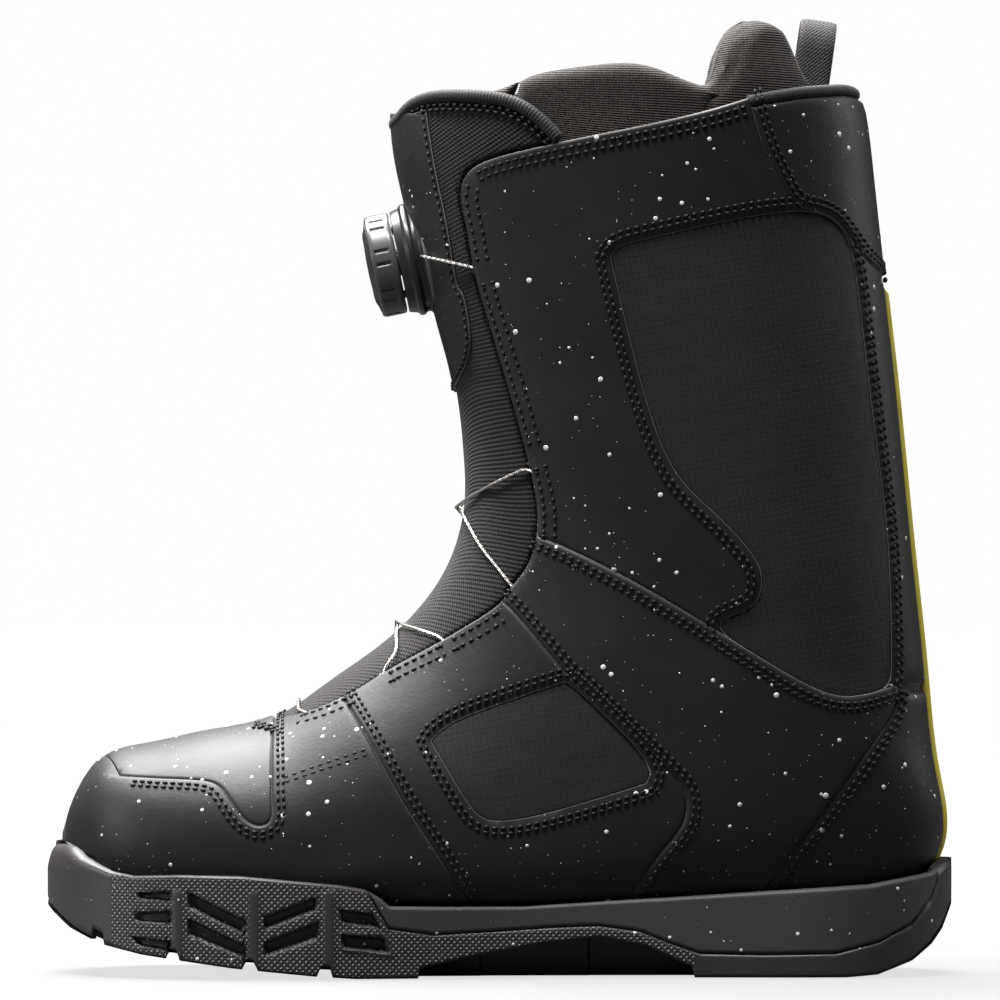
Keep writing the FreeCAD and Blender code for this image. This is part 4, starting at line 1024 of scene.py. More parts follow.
def outwards(obj):
    bm = bmesh.new()
    bm.from_mesh(obj.data)
    bmesh.ops.recalc_face_normals(bm, faces=bm.faces)
    bm.to_mesh(obj.data)
    bm.free()


def evenPath(points, spacing):
    points = np.asarray(points)
    run = np.concatenate([[0], np.cumsum(np.linalg.norm(np.diff(points, axis=0), axis=1))])
    want = np.linspace(0, run[-1], max(int(run[-1] / spacing), 3))
    return np.stack([np.interp(want, run, points[:, k]) for k in range(points.shape[1])], 1)


beadSide = sideLine([(x, z - 2.2) for x, z in tongueTop])
beadSide = beadSide[beadSide[:, 0] < -0.01]
beadLine = mirrorFront(beadSide)
beadLine = np.stack([np.convolve(np.pad(beadLine[:, k], 4, "edge"), np.ones(9) / 9, "valid")
    for k in range(2)], 1)
beadPath = evenPath(np.hstack([onForm(outer, beadLine, 2.4), normalAt(outer, beadLine)]), 0.32)
tongueBinding = sweep("tongueBinding", beadPath[:, :3], beadPath[:, 3:], 2.2, 2.9, cordCloth, pitch=1.15,
    rib=0.12)
keepPiece(tongueBinding, "tongue", "binding_cord", "tongue_binding")
rimSide = sideLine([(x, z - 2.1) for x, z in collarTop])
rimSide = rimSide[rimSide[:, 0] > -0.995]
rimLine = mirrorBack(rimSide)
rimPath = evenPath(np.hstack([onForm(outer, rimLine, 1.7), normalAt(outer, rimLine)]), 0.32)
collarBinding = sweep("collarBinding", rimPath[:, :3], rimPath[:, 3:], 2.1, 2.2, cordCloth, pitch=1.15,
    rib=0.12)
keepPiece(collarBinding, "boot", "binding_cord", "collar_binding")
print("bindings ready")

footTree = KDTree(len(foot["grid"][::2, ::2].reshape(-1, 3)))
footPoints = foot["grid"][::2, ::2].reshape(-1, 3)
footNormals = foot["normal"][::2, ::2].reshape(-1, 3)
for k, p in enumerate(footPoints):
    footTree.insert(p, k)
footTree.balance()


def ontoFoot(gap=0.3):
    def inner(points):
        index = np.array([footTree.find(p)[1] for p in points])
        q, n = footPoints[index], footNormals[index]
        return points - n * (((points - q) * n).sum(1) - gap)[:, None]
    return inner


linerTop = [
    (2, 301), (8, 304.5), (21, 306.5), (41, 309), (52, 308), (62, 304.5), (70, 302),
    (74, 302), (77, 307), (81, 316.5), (86, 322), (91, 325.3), (96, 326), (101.3, 324), (104.5, 318),
        (107, 312), (110, 306),
]
linerTongueEdge = [
    (3, 302), (2, 298), (-6, 285), (-15, 275), (-18, 266), (-17.5, 258), (-15, 248), (-13.5, 239),
    (-10.5, 228), (-4.5, 209), (1.5, 186), (6.5, 166.5), (7.5, 156), (6.5, 147), (4.5, 141), (0.5, 136),
        (-4.5, 130),
    (-22, 119), (-42, 107), (-62, 94), (-71, 86), (-76, 79),
]
linerTopLine = sideLine(linerTop)
linerTopLine = linerTopLine[linerTopLine[:, 0] > -0.995]
linerBack = np.array([[-1.0, heightAtBack(300)]])
slotLine = sideLine([(x + 0.9, z - 0.5) for x, z in linerTongueEdge])
linerThroat = np.array([[0.0, float(fromSide(outer, [(-77.5, 82)])[0, 1])]])
linerHalf = np.vstack([linerTopLine[::-1], slotLine, across(slotLine[-1], linerThroat[0], 16)[1:],
    np.stack([np.zeros(60), np.linspace(linerThroat[0, 1], 0.02, 60)], 1)[1:]])
linerHalf = np.vstack([linerBack, linerHalf])
linerLoop = joined(np.vstack([linerHalf, np.stack([np.linspace(0, -2, 100)[1:-1], np.full(98, 0.02)], 1),
    (np.array([-2, 0]) + linerHalf * [-1, 1])[::-1][:-1]]))
earSeam = fromSide(outer, smoothLine([(92.5, 326), (87, 320), (83, 311), (80, 305), (76, 300), (70, 293)],
    1.0, soften=2))
earSeam = np.vstack([earSeam, (earSeam * [-1, 1])])
earSeam3 = onForm(outer, earSeam, 6.6)
halfSeam = len(earSeam3) // 2


def earRelief(flat, surface, away):
    flatS = np.where(flat[:, 0] < -1, -2 - flat[:, 0], flat[:, 0])
    d = lineDistance(onForm(outer, np.stack([-np.abs(flatS), flat[:, 1]], 1), 6.6), earSeam3[:halfSeam],
        closed=False)
    z = surface[:, 2]
    puff = 1.1 * np.clip((z - 292) / 12, 0, 1) * np.clip(away / 4, 0, 1)
    wave = 0.35 * np.sin(surface[:, 0] * 0.11 + z * 0.07) * np.clip((z - 285) / 10, 0, 1)
    return puff + wave - 1.9 * np.exp(-(d / 1.3) ** 2) * np.clip((z - 288) / 8, 0, 1)


linerBoot = panel("linerBoot", outer, linerLoop, 7.4, 6.6, ease=5.0, grid=3.0, material=knit,
    inner=ontoFoot(0.6), relief=earRelief)
keepPiece(linerBoot, "boot", "liner_knit", "liner_boot", soft=0.7)
tongueEdgeLine = sideLine(linerTongueEdge)
frontTop = sideLine([(-34, 294.5), (-22, 296.5), (-6, 299), (3, 302)])
linerTongueHalf = np.vstack([[[0.0, frontTop[0, 1]]], frontTop[frontTop[:, 0] < -0.02], tongueEdgeLine])
linerTongue = panel("linerTongue", outer, joined(mirrorFront(linerTongueHalf)), 7.4, 6.6, ease=4.0,
    grid=3.4, material=knit, inner=ontoFoot(0.6))
keepPiece(linerTongue, "inner_tongue", "liner_knit", "liner_tongue", soft=0.7)

footbedTop = [(-129, 47.5), (-118, 45), (-98, 42), (-76, 40), (-50, 38.5), (-22, 37), (46, 36), (90, 37),
    (112, 42), (122, 49)]
footTopLine = fromSide(foot, smoothLine(footbedTop, 1.3, soften=1))
bedHalf = footTopLine[footTopLine[:, 1] > 0.012]
bedRing = np.vstack([bedHalf, (np.array([-2, 0]) + bedHalf * [-1, 1])[::-1]])
footbed = panel("footbedPad", foot, joined(bedRing), 0.3, 3.4, ease=2.2, grid=4.0, material=lining,
    edgeRise=0.1)
keepPiece(footbed, "boot", "footbed_foam", "footbed", soft=0.9)
print("inner boot ready")

# pull loop: flat webbing folded into an upright loop behind the inner boot
loopLook = {"span": 22.0, "width": 12.4, "thick": 1.9, "top": 326.3, "base": 289.0, "lean": 8.0, "x": 99.8}
r = loopLook["span"] / 2 - loopLook["thick"] / 2
arch = [(-r, loopLook["base"]), (-r, loopLook["top"] - loopLook["span"] / 2)]
turn = np.linspace(math.pi, 0, 25)
path = [(-r, z) for z in np.linspace(loopLook["base"], loopLook["top"] - loopLook["span"] / 2, 26)[:-1]]
path += [(r * math.cos(a), loopLook["top"] - loopLook["span"] / 2 + r * math.sin(a)) for a in turn]
path += [(r, z) for z in np.linspace(loopLook["top"] - loopLook["span"] / 2, loopLook["base"], 26)[1:]]
path = evenPath(path, 0.5)
tangent = np.gradient(path, axis=0)
tangent /= np.linalg.norm(tangent, axis=1, keepdims=True)
outway = np.stack([-tangent[:, 1], tangent[:, 0]], 1) * -1
if (outway[len(path) // 2] * [0, 1]).sum() < 0:
    outway = -outway
cols = 26
verts, uvs = [], []
profile = []
w, h = loopLook["width"] / 2, loopLook["thick"] / 2
for x in np.linspace(-w, w, cols):
    profile.append((x, h - 0.35 * (abs(x) / w) ** 6 * h * 2))
for x in np.linspace(w, -w, cols):
    profile.append((x, -h + 0.35 * (abs(x) / w) ** 6 * h * 2))
lean = math.radians(loopLook["lean"])
run = np.concatenate([[0], np.cumsum(np.linalg.norm(np.diff(path, axis=0), axis=1))])
for (y, z), (ny, nz), l in zip(path, outway, run):
    for k, (px, ph) in enumerate(profile):
        weave = 0.07 * math.sin(2 * math.pi * l / 1.5)
        yy, zz = y + ny * (ph + weave * np.sign(ph)), z + nz * (ph + weave * np.sign(ph))
        dz = zz - 301
        xx = px + 6.2
        verts.append((loopLook["x"] + xx * math.cos(lean) + dz * math.sin(lean), yy - 1.0,
            301 - xx * math.sin(lean) + dz * math.cos(lean)))
        uvs.append((px * 0.01, l * 0.01))
ring = len(profile)
faces = []
for k in range(len(path) - 1):
    for j in range(ring):
        faces.append([k * ring + j, k * ring + (j + 1) % ring, (k + 1) * ring + (j + 1) % ring,
            (k + 1) * ring + j])
faces.append(list(range(ring)))
faces.append([(len(path) - 1) * ring + j for j in range(ring)][::-1])
pullLoop = newMesh("pullLoop", verts, faces, webbing, uvs, sharp=60)
outwards(pullLoop)
keepPiece(pullLoop, "boot", "webbing", "pull_loop")

lateralPlan = [(-150.5, -14), (-141, -30), (-122, -45), (-97, -54.5), (-70, -57), (-42, -54.5), (-12, -49),
    (28, -45), (68, -44.5), (100, -45), (124, -42), (141, -32), (151, -16)]
medialPlan = [(151, 16), (141, 31), (124, 41), (100, 44), (68, 43), (28, 43), (-12, 47), (-42, 52),
    (-70, 55.5), (-97, 57), (-122, 51), (-141, 40.5), (-150.5, 27)]
soleBottom = [(-158, 26), (-152.3, 20.9), (-146, 16), (-135, 11), (-121, 7.8), (-90, 3.6), (-62, 0.9),
    (-48, 0), (118, 0), (128, 0.8), (140, 5.2), (147, 10.5), (151, 15.5), (153.5, 21), (155, 24)]
foxing = [(-44.01, 60), (-44, 29), (-37, 17), (-22, 14.8), (0, 15.9), (20, 17.2), (34, 17.6), (48, 15.6),
    (58, 11.6), (68, 8.2), (90, 7.8), (114, 8.2), (129, 12), (140, 18), (147, 27), (149.5, 34), (149.6, 60)]
archLine = [(-27, 3.2), (-8, 7.4), (14, 11.3), (34, 13.6), (50, 10.5), (66, 3.2)]
pockets = np.array([
    [(-122, 27), (-111, 26), (-111, 29.2), (-122, 28.6)],
        [(-123, 19.3), (-111, 18.5), (-111, 22.7), (-122.3, 21.9)],
    [(-122, 11), (-111, 9), (-111, 12.5), (-124, 13.8)],
        [(-104.6, 24), (-85.4, 15), (-85.4, 19.6), (-104.6, 29)],
    [(-104.6, 14.6), (-85.4, 7.2), (-85.4, 11.2), (-104.6, 20.2)],
        [(-79, 16.8), (-61.4, 23.4), (-61.4, 27.5), (-79, 20.9)],
    [(-78.6, 8), (-60.6, 13.8), (-61, 19), (-79, 12.4)],
        [(-53, 19.2), (-40, 17.2), (-42.4, 21.8), (-53.2, 23.4)],
    [(-52, 10.8), (-37.5, 9), (-39, 13.8), (-52.7, 14.8)],
])
ribsAt = [-108.3, -82.2, -57.0]
soleLook = {"pocket": 2.0, "groove": 3.2, "grooveWidth": 4.0, "rib": 0.5, "round": 1.3, "archIn": 16.0,
    "toeLean": 7.0}


def through(points, x):
    p = np.array(points, float)
    return np.interp(x, p[:, 0], p[:, 1])


planPoints = np.array([(-154.8, 7)] + lateralPlan + [(154.8, 0)] + medialPlan, float)
wrapPlan = np.vstack([planPoints[-6:], planPoints, planPoints[:7]])
chord = np.concatenate([[0], np.cumsum(np.linalg.norm(np.diff(wrapPlan, axis=0), axis=1))])
densePlan = splineThrough(chord, wrapPlan, np.linspace(chord[6], chord[6 + len(planPoints)], 6000,
    endpoint=False))
densePlan = np.roll(densePlan, -int(np.argmin(densePlan[:, 0])), axis=0)
tail = int(np.argmax(densePlan[:, 0]))
lateralRun, medialRun = densePlan[:tail + 1], np.vstack([densePlan[tail:], densePlan[:1]])[::-1]
runLat = np.concatenate([[0], np.cumsum(np.linalg.norm(np.diff(lateralRun, axis=0), axis=1))])
formTree = BVHTree.FromPolygons((outer["grid"][::4, ::4].reshape(-1, 3)).tolist(), [
    [j * 112 + i, j * 112 + (i + 1) % 112, (j + 1) * 112 + (i + 1) % 112, (j + 1) * 112 + i]
        for j in range(130) for i in range(112)])


def formUnder(x, y):
    hit = formTree.ray_cast(Vector((x, y, -20)), Vector((0, 0, 1)))[0]
    return hit[2] if hit is not None else 99.0


def edgeDistance(x, y):
    yl = np.interp(x, lateralRun[:, 0], lateralRun[:, 1])
    ym = np.interp(x, medialRun[:, 0], medialRun[:, 1])
    return np.minimum(y - yl, ym - y)


openGrooves = [-136.0, -110.3, -84.0, -58.5]
closedGrooves = [-123.0, -97.0, -71.0, 71.0, 87.0, 103.0, 119.0, -35.0]


def soleUnder(x, y):
    z = through(soleBottom, x)
    inArch = (x > -27) & (x < 66) & (edgeDistance(x, y) < soleLook["archIn"])
    cut = np.zeros_like(z)
    for g in openGrooves + closedGrooves:
        reach = 90 if g in openGrooves else 30      # closed ones stop short of the side walls
        across01 = np.clip((soleLook["grooveWidth"] / 2 + 0.3 - np.abs(x - g)) / 0.6, 0, 1)
        cut = np.maximum(cut, across01 * np.clip((np.abs(y) - 5.7) / 0.6, 0,
            1) * np.clip((reach - np.abs(y)) / 0.6, 0, 1))
    z = z + cut * soleLook["groove"]
    arch = through(archLine, x)
    return np.where(inArch, np.maximum(z, arch), z)


def wallDetail(x, z):
    d = np.zeros_like(x)
    for quad in pockets:
        inside = np.full(len(x), 9.0)
        for (xa, za), (xb, zb) in zip(quad, np.roll(quad, -1, axis=0)):
            length = math.hypot(xb - xa, zb - za)
            inside = np.minimum(inside, ((xb - xa) * (z - za) - (zb - za) * (x - xa)) / length)
        d = np.maximum(d, np.clip(inside / 0.8 + 0.4, 0, 1) * soleLook["pocket"])
        d = d - 0.4 * np.clip(1 - np.abs(inside + 0.9) / 0.9, 0, 1)
    for rx in ribsAt:
        d -= soleLook["rib"] * np.clip((1.9 - np.abs(x - rx)) / 0.6, 0, 1) * np.clip((30.5 - z) / 2, 0, 1)
    return d


def soleMesh(name, x0, x1, lowOf, highOf, material, stations, detail=True):
    runX = np.interp(np.linspace(0, runLat[-1], stations), runLat, lateralRun[:, 0])
    runX = runX[(runX >= x0) & (runX <= x1)]
    runX[0], runX[-1] = max(x0, runX[0]), min(x1, runX[-1])
    yl = np.interp(runX, lateralRun[:, 0], lateralRun[:, 1])
    ym = np.interp(runX, medialRun[:, 0], medialRun[:, 1])
    tips = (runX > 154.78) | (runX < -154.78)
    mid = (yl + ym) / 2
    nl = np.stack([np.gradient(yl), -np.gradient(runX)], 1)
    nm = np.stack([-np.gradient(ym), np.gradient(runX)], 1)
    nl /= np.maximum(np.linalg.norm(nl, axis=1, keepdims=True), 1e-9)
    nm /= np.maximum(np.linalg.norm(nm, axis=1, keepdims=True), 1e-9)
    wall = np.linspace(0, 1, 46)
    lam = np.concatenate([np.linspace(0, 0.25, 12), np.linspace(0.25, 1, 12)[1:]])
    under = np.concatenate([np.linspace(0, 0.12, 8), np.linspace(0.12, 0.88, 62)[1:],
        np.linspace(0.88, 1, 8)[1:]])
    rows, uv, studs, hollows = [], [], [], []
    arc = 0.0
    for k, x in enumerate(runX):
        if k:
            arc += math.hypot(x - runX[k - 1], yl[k] - yl[k - 1])
        span = max(ym[k] - yl[k], 1e-6)
        ring, ringUv, ringStud, ringHollow = [], [], [], []
        topLat = yl[k] + (mid[k] - yl[k]) * lam[::-1]
        topMed = ym[k] + (mid[k] - ym[k]) * lam
        zt = highOf(np.full(len(lam), x), topLat)
        zm = highOf(np.full(len(lam), x), topMed)
        zEdge = float(zt[-1])
        yu = yl[k] + span * under
        zu = lowOf(np.full(len(under), x), yu)
        zLow = min(float(zu[0]), zEdge - 0.05)
        zLowM = min(float(zu[-1]), float(zm[0]) - 0.05)
        zu = np.minimum(zu, np.minimum(highOf(np.full(len(under), x), yu) - 0.05, 99))
        r = min(soleLook["round"], span * 0.4, (zEdge - zLow) * 0.45)
        tipShare = max(min((-128 - x) / 18, 1), min((x - 134) / 14, 1), 0)
        rTop = min(r + 2.4 * tipShare, max((zEdge - zLow) * 0.45, 0.05)) if detail else r
        rLow = min(r + 2.0 * tipShare, max((zEdge - zLow) * 0.45, 0.05)) if detail else r
        for y, z in zip(topLat, zt):
            ring.append((x, min(max(y, yl[k] + rTop), mid[k]), z))
            ringUv.append((arc, 60 + y))
            ringStud.append(0)
            ringHollow.append(0)
        for side, n, y0, low in ((-1, nl[k], yl[k], zLow), (1, nm[k], ym[k], zLowM)):
            if side == 1:
                for y, z in zip(yu[1:-1], zu[1:-1]):
                    ring.append((x, min(max(y, yl[k] + r), ym[k] - r), z))
                    ringUv.append((arc, y))
                    ringStud.append(0)
                    ringHollow.append(0)
            z = zEdge + (low - zEdge) * (wall if side < 0 else wall[::-1])
            ends = np.minimum(zEdge - z, z - low)
            rEnd = np.where(zEdge - z < z - low, rTop, rLow)
            inset = rEnd * (1 - np.sqrt(np.maximum(1 - (1 - np.clip(ends / np.maximum(rEnd, 1e-6), 0,
                1)) ** 2, 0)))
            if detail:
                depth = wallDetail(np.full(len(z), x), z)
                inset = inset + depth * np.clip(ends / 1.2, 0, 1)
                # stud mask: drives the stud bumps and the painted highlight on them
                stud = ((x > -131) & (x < -34)) * np.clip((ends - 0.8) / 0.8, 0, 1) * (np.abs(depth) < 0.2)
                band = ((x > -34) & (x < 66)) * np.clip((ends - 0.5) / 0.6, 0, 1) * 0.8
                stud = np.maximum(stud, band)
                # pocket depth, which the rubber material uses to paint shade into the pockets
                hollow = np.clip(depth / 1.2, 0, 1)
            else:
                stud = hollow = np.zeros(len(z))
            if tips[k]:
                inset = np.minimum(inset, 3.0)
            for zz, ii, ss, hh in zip(z, inset, stud, hollow):
                ring.append((x - n[0] * ii, y0 - n[1] * ii, zz))
                ringUv.append((arc, zz))
                ringStud.append(float(ss))
                ringHollow.append(float(hh))
        for y, z in zip(topMed, zm):
            ring.append((x, max(min(y, ym[k] - rTop), mid[k]), z))
            ringUv.append((arc, 60 + y))
            ringStud.append(0)
            ringHollow.append(0)
        rows.append(ring[:-1])
        uv += ringUv[:-1]
        studs += ringStud[:-1]
        hollows += ringHollow[:-1]
    count = len(rows[0])
    verts = np.array(rows).reshape(-1, 3)
    if detail:
        tipped = np.clip((-verts[:, 0] - 130) / 22, 0, 1) * np.clip((verts[:, 2] - 35) / 17, 0, 1) ** 1.5
        verts[:, 0] += soleLook["toeLean"] * tipped
    faces = []
    for k in range(len(rows) - 1):
        for j in range(count):
            faces.append([k * count + j, k * count + (j + 1) % count, (k + 1) * count + (j + 1) % count,
                (k + 1) * count + j])
    faces.append(list(range(count))[::-1])
    faces.append([(len(rows) - 1) * count + j for j in range(count)])
    obj = newMesh(name, verts, faces, material, np.array(uv) * 0.01,
        {"studs": np.array(studs), "hollow": np.array(hollows)}, sharp=40)
    outwards(obj)
    return obj


def upperSide(x, y):
    z = through(soleTop, x)
    out = []
    for a, b, c in zip(x, y, z):
        out.append(min(c, formUnder(a, b) + 0.2))
    return np.array(out)


def foxTop(x, y):
    edge = np.where((x < -44) | (x > 149.5), 99.0, through(foxing, x))
    arch = np.where((x > -27) & (x < 66) & (edgeDistance(x, y) < soleLook["archIn"]), through(archLine, x),
        0)
    return np.minimum(np.maximum(edge, arch), upperSide(x, y))


def midLow(x, y):
    return foxTop(x, y)


outsole = soleMesh("soleRubber", -154.79, 154.79, soleUnder, foxTop, outsoleRubber, 410)
keepPiece(outsole, "boot", "outsole_rubber", "outsole")
midsole = soleMesh("soleMid", -43.9, 149.4, midLow, upperSide, midsoleFoam, 330, detail=False)
keepPiece(midsole, "boot", "midsole_foam", "midsole")
print("sole ready")

tilt = math.radians(11.5)
dialAxis = np.array([-math.cos(tilt), 0, -math.sin(tilt)])
dialSeat = np.array([-23.925, 0, 244.63])
dialSide = np.array([0.0, 1.0, 0.0])
dialUp = np.cross(dialSide, dialAxis)      # towards the toe side of the knob's face, then up
if dialUp[2] < 0:
    dialUp = -dialUp


def lathe(name, profile, material, steps=144, shape=None, sharp=35):
    angles = np.arange(steps) / steps * 2 * math.pi
    profile = np.array(profile, float)
    verts, uv = [], []
    for a in angles:
        for k, (r, h) in enumerate(profile):
            rr = r + (shape(a, r, h) if shape else 0)
            verts.append(dialSeat + dialAxis * h + (dialUp * math.cos(a) + dialSide * math.sin(a)) * rr)
            uv.append((a * 0.17, h * 0.01))
    count = len(profile)
    faces = []
    for k in range(steps):
        m = (k + 1) % steps
        for j in range(count):
            i = (j + 1) % count
            if profile[j, 0] < 1e-6 and profile[i, 0] < 1e-6:
                continue
            faces.append([k * count + j, k * count + i, m * count + i, m * count + j])
    obj = newMesh(name, verts, faces, material, uv, sharp=sharp)
    bm = bmesh.new()
    bm.from_mesh(obj.data)
    bmesh.ops.remove_doubles(bm, verts=bm.verts, dist=1e-7)
    bmesh.ops.recalc_face_normals(bm, faces=bm.faces)
    bm.to_mesh(obj.data)
    bm.free()
    obj.data.set_sharp_from_angle(angle=math.radians(sharp))
    return obj


def eased(profile, r):
    p = np.array(profile, float)
    out = []
    for k in range(len(p)):
        a, b, c = p[k - 1], p[k], p[(k + 1) % len(p)]
        la, lc = np.linalg.norm(a - b), np.linalg.norm(c - b)
        if b[0] < 0.01 or la < 1e-6 or lc < 1e-6:
            out.append(b)
            continue
        d = min(r, la * 0.45, lc * 0.45)
        p0, p1 = b + (a - b) / la * d, b + (c - b) / lc * d
        for t in (0, 0.33, 0.67, 1.0):
            out.append((1 - t) ** 2 * p0 + 2 * t * (1 - t) * b + t ** 2 * p1)
    return np.array(out)


dialLook = {"housingR": 19.4, "housingTop": 10.5, "knobR": 17.5, "knobLow": 10.9, "knobH": 8.8, "dome": 1.8}
kl, kt = dialLook["knobLow"], dialLook["knobLow"] + dialLook["knobH"]


def housingShape(a, r, h):
    if r < 16.5 or h < 1.0:
        return 0.0
    win = 0.0
    for c in (math.pi - 0.42, math.pi + 0.42):
        win = max(win, min(max((0.16 - abs(((a - c + math.pi) % (2 * math.pi)) - math.pi)) / 0.03, 0), 1))
    return -0.9 * win * (1.6 < h < 5.2)


housingProfile = eased([
    (19.4, -0.6), (19.4, 2.4), (18.5, 3.0), (18.5, 4.4), (19.3, 5.0), (19.3, 6.6), (18.2, 7.4),
        (17.4, 10.4), (15.4, 10.4),
    (15.25, 8.35), (11.85, 8.3), (11.8, 1.4), (2.0, 1.4), (2.0, -0.6)], 0.35)
housing = lathe("dialHousing", housingProfile, housingDark, 180, housingShape)
keepPiece(housing, "tongue", "dial_plastic", "dial_housing")
skirt = lathe("dialHousingSkirt", eased([(20.1, -1.6), (20.1, 1.0), (19.6, 1.7), (18.9, 1.7), (18.9, -1.6)],
    0.3), housingGrey, 120)
keepPiece(skirt, "tongue", "dial_plastic")

knobProfile = [(0.0, kt + 1.8)]
for t in np.linspace(0.06, 1, 12):
    rr = 16.1 * t
    knobProfile.append((rr, kt + 1.8 - 1.9 * t ** 2.6 + (0.35 if 0.62 < t < 0.80 else 0)))
knobProfile += [(16.2, kt - 0.6), (16.2, kl), (14.6, kl), (14.6, kl + 6.2), (0.0, kl + 6.2)]
knob = lathe("dialKnob", knobProfile, knobGloss, 144, sharp=30)
keepPiece(knob, "dial_cap", "knob_plastic", "dial_knob")
gripProfile = eased([
    (16.25, kl + 0.15), (17.0, kl + 0.15), (17.35, kl + 0.7), (17.5, kl + 1.4), (17.5, kl + 4.4),
        (17.5, kl + 7.2),
    (17.2, kl + 8.3), (16.3, kl + 8.75), (16.25, kl + 8.0)], 0.3)
gripRows = []
for a, b in zip(gripProfile, np.roll(gripProfile, -1, axis=0)):
    n = max(int(np.linalg.norm(b - a) / 0.45), 1)
    gripRows += [a + (b - a) * k / n for k in range(n)]


def gripShape(a, r, h):
    if r < 16.6:
        return 0.0
    place = a / (2 * math.pi) * 24
    k = int(round(place)) % 24
    across = abs(place - round(place)) / 24 * 2 * math.pi * 17.5
    along = abs(h - (kl + 4.7)) - 2.6
    if k % 3 == 2:
        return 0.0
    return -0.62 * min(max((0.72 - across) / 0.3, 0), 1) * min(max(-along / 0.35, 0), 1)


grip = lathe("dialGrip", gripRows, gripRubber, 480, gripShape, sharp=50)
keepPiece(grip, "dial_cap", "grip_rubber", "dial_grip")
print("dial ready")

laceLook = {"radius": 0.5, "proud": 0.55, "over": 1.65}


def cordAlong(name, points, radius=None, sides=10):
    radius = radius or laceLook["radius"]
    path = evenPath(points, 0.7)
    for _ in range(3):
        path[1:-1] = (path[:-2] + 2 * path[1:-1] + path[2:]) / 4
    tangent = np.gradient(path, axis=0)
    tangent /= np.linalg.norm(tangent, axis=1, keepdims=True)
    ref = np.cross(tangent, [0.3, 0.2, 0.93])
    ref /= np.linalg.norm(ref, axis=1, keepdims=True)
    other = np.cross(tangent, ref)
    run = np.concatenate([[0], np.cumsum(np.linalg.norm(np.diff(path, axis=0), axis=1))])
    t = np.arange(sides) / sides * 2 * math.pi
    verts = path[:, None] + radius * (ref[:, None] * np.cos(t)[None, :, None] + other[:,
        None] * np.sin(t)[None, :, None])
    faces = [[k * sides + j, k * sides + (j + 1) % sides, (k + 1) * sides + (j + 1) % sides,
        (k + 1) * sides + j] for k in range(len(path) - 1) for j in range(sides)]
    faces += [list(range(sides))[::-1], [(len(path) - 1) * sides + j for j in range(sides)]]
    uv = np.stack([np.tile(t / (2 * math.pi), len(path)), np.repeat(run, sides) * mm], 1)
    obj = newMesh(name, verts.reshape(-1, 3), faces, laceSteel, uv)
    outwards(obj)
    return obj


def frontPlace(x, z, side):
    return fromSide(outer, [(x, z)])[0] * [side * -1, 1]


def fromFront(y, z):
    hit = formTree.ray_cast(Vector((-300, y - 1.0, z)), Vector((1, 0, 0)))[0]
    return np.array(hit)


def strandHalf(name, x, z, places, side, over):
    start = frontPlace(x, z, side)
    edgePoint = onForm(outer, start[None], -0.1)[0]
    inside = onForm(outer, (start + [side * 0.035, 0])[None], 1.6)[0]
    points = [inside, edgePoint]
    for y, h in places:
        p = fromFront(side * y, h)
        n = np.array(formTree.find_nearest(Vector(p))[1])
        n = n if n[0] < 0 else -n
        points.append(p + n * (over if abs(y) < 8 else laceLook["proud"]))
    points = evenPath(points, 0.9)
    for _ in range(14):
        points[2:-1] = (points[1:-2] + 2 * points[2:-1] + points[3:]) / 4
    obj = cordAlong(name, points)
    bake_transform(obj)
    pieces[obj.name] = obj
    return obj


strandsOver = [
    ("laceUpper", (9.4, 172.4), [(27, 167), (15, 161.8), (0, 158.6)], (4.4, 132.2),
        [(25, 145.5), (14, 155), (0, 158.6)]),
    ("laceLower", (-18.8, 114.4), [(20, 117), (10, 118.3), (0, 118.8)], (-39.8, 102.9),
        [(22, 109.5), (11, 115.8), (0, 118.8)]),
]
for name, outAt, outWay, inAt, inWay in strandsOver:
    for sideName, side in (("Lateral", -1), ("Medial", 1)):
        strandHalf(name + "Out" + sideName, *outAt, outWay, side,
            laceLook["over"] if side < 0 else laceLook["proud"])
        strandHalf(name + "In" + sideName, *inAt, inWay, side,
            laceLook["over"] if side > 0 else laceLook["proud"])
for sideName, side in (("Lateral", -1), ("Medial", 1)):
    exitAt = dialSeat + dialAxis * 2.6 + np.array([0, side * 18.2, 0])
    edgeAt = onForm(outer, frontPlace(-9.7, 240.0, side)[None], 0.4)[0]
    deep = onForm(outer, frontPlace(-6.5, 238.5, side)[None], 1.9)[0]
    mid = exitAt + (edgeAt - exitAt) * 0.5
    bow = onForm(outer, frontPlace(-17.0, 242.2, side)[None], -0.9)[0]
    points = evenPath([exitAt, exitAt + [0, side * 2.2, 0], bow, edgeAt, deep], 0.7)
    obj = cordAlong("laceDial" + sideName, points)
    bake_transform(obj)
    pieces[obj.name] = obj
ends = onForm(outer, np.array([frontPlace(-60.5, 87.0, -1), frontPlace(-64.6, 88.9, -1)]), 0.6)
cross = [onForm(outer, np.array([[s, alongFront(x=-68.5, high=0.5)]]), -0.2)[0]
    for s in np.linspace(-0.13, 0.13, 12)]
ends2 = onForm(outer, np.array([frontPlace(-64.6, 88.9, 1), frontPlace(-60.5, 87.0, 1)]), 0.6)
throatLace = cordAlong("laceThroat", np.vstack([ends, cross, ends2]))
keepPiece(throatLace, "boot", "lace_steel", "lace")
print("lace ready")

# stitch size; the long, thick dark thread also stands in for the shaded stitch holes
stitchLook = {"pitch": 2.85, "long": 1.1, "thick": 0.66}


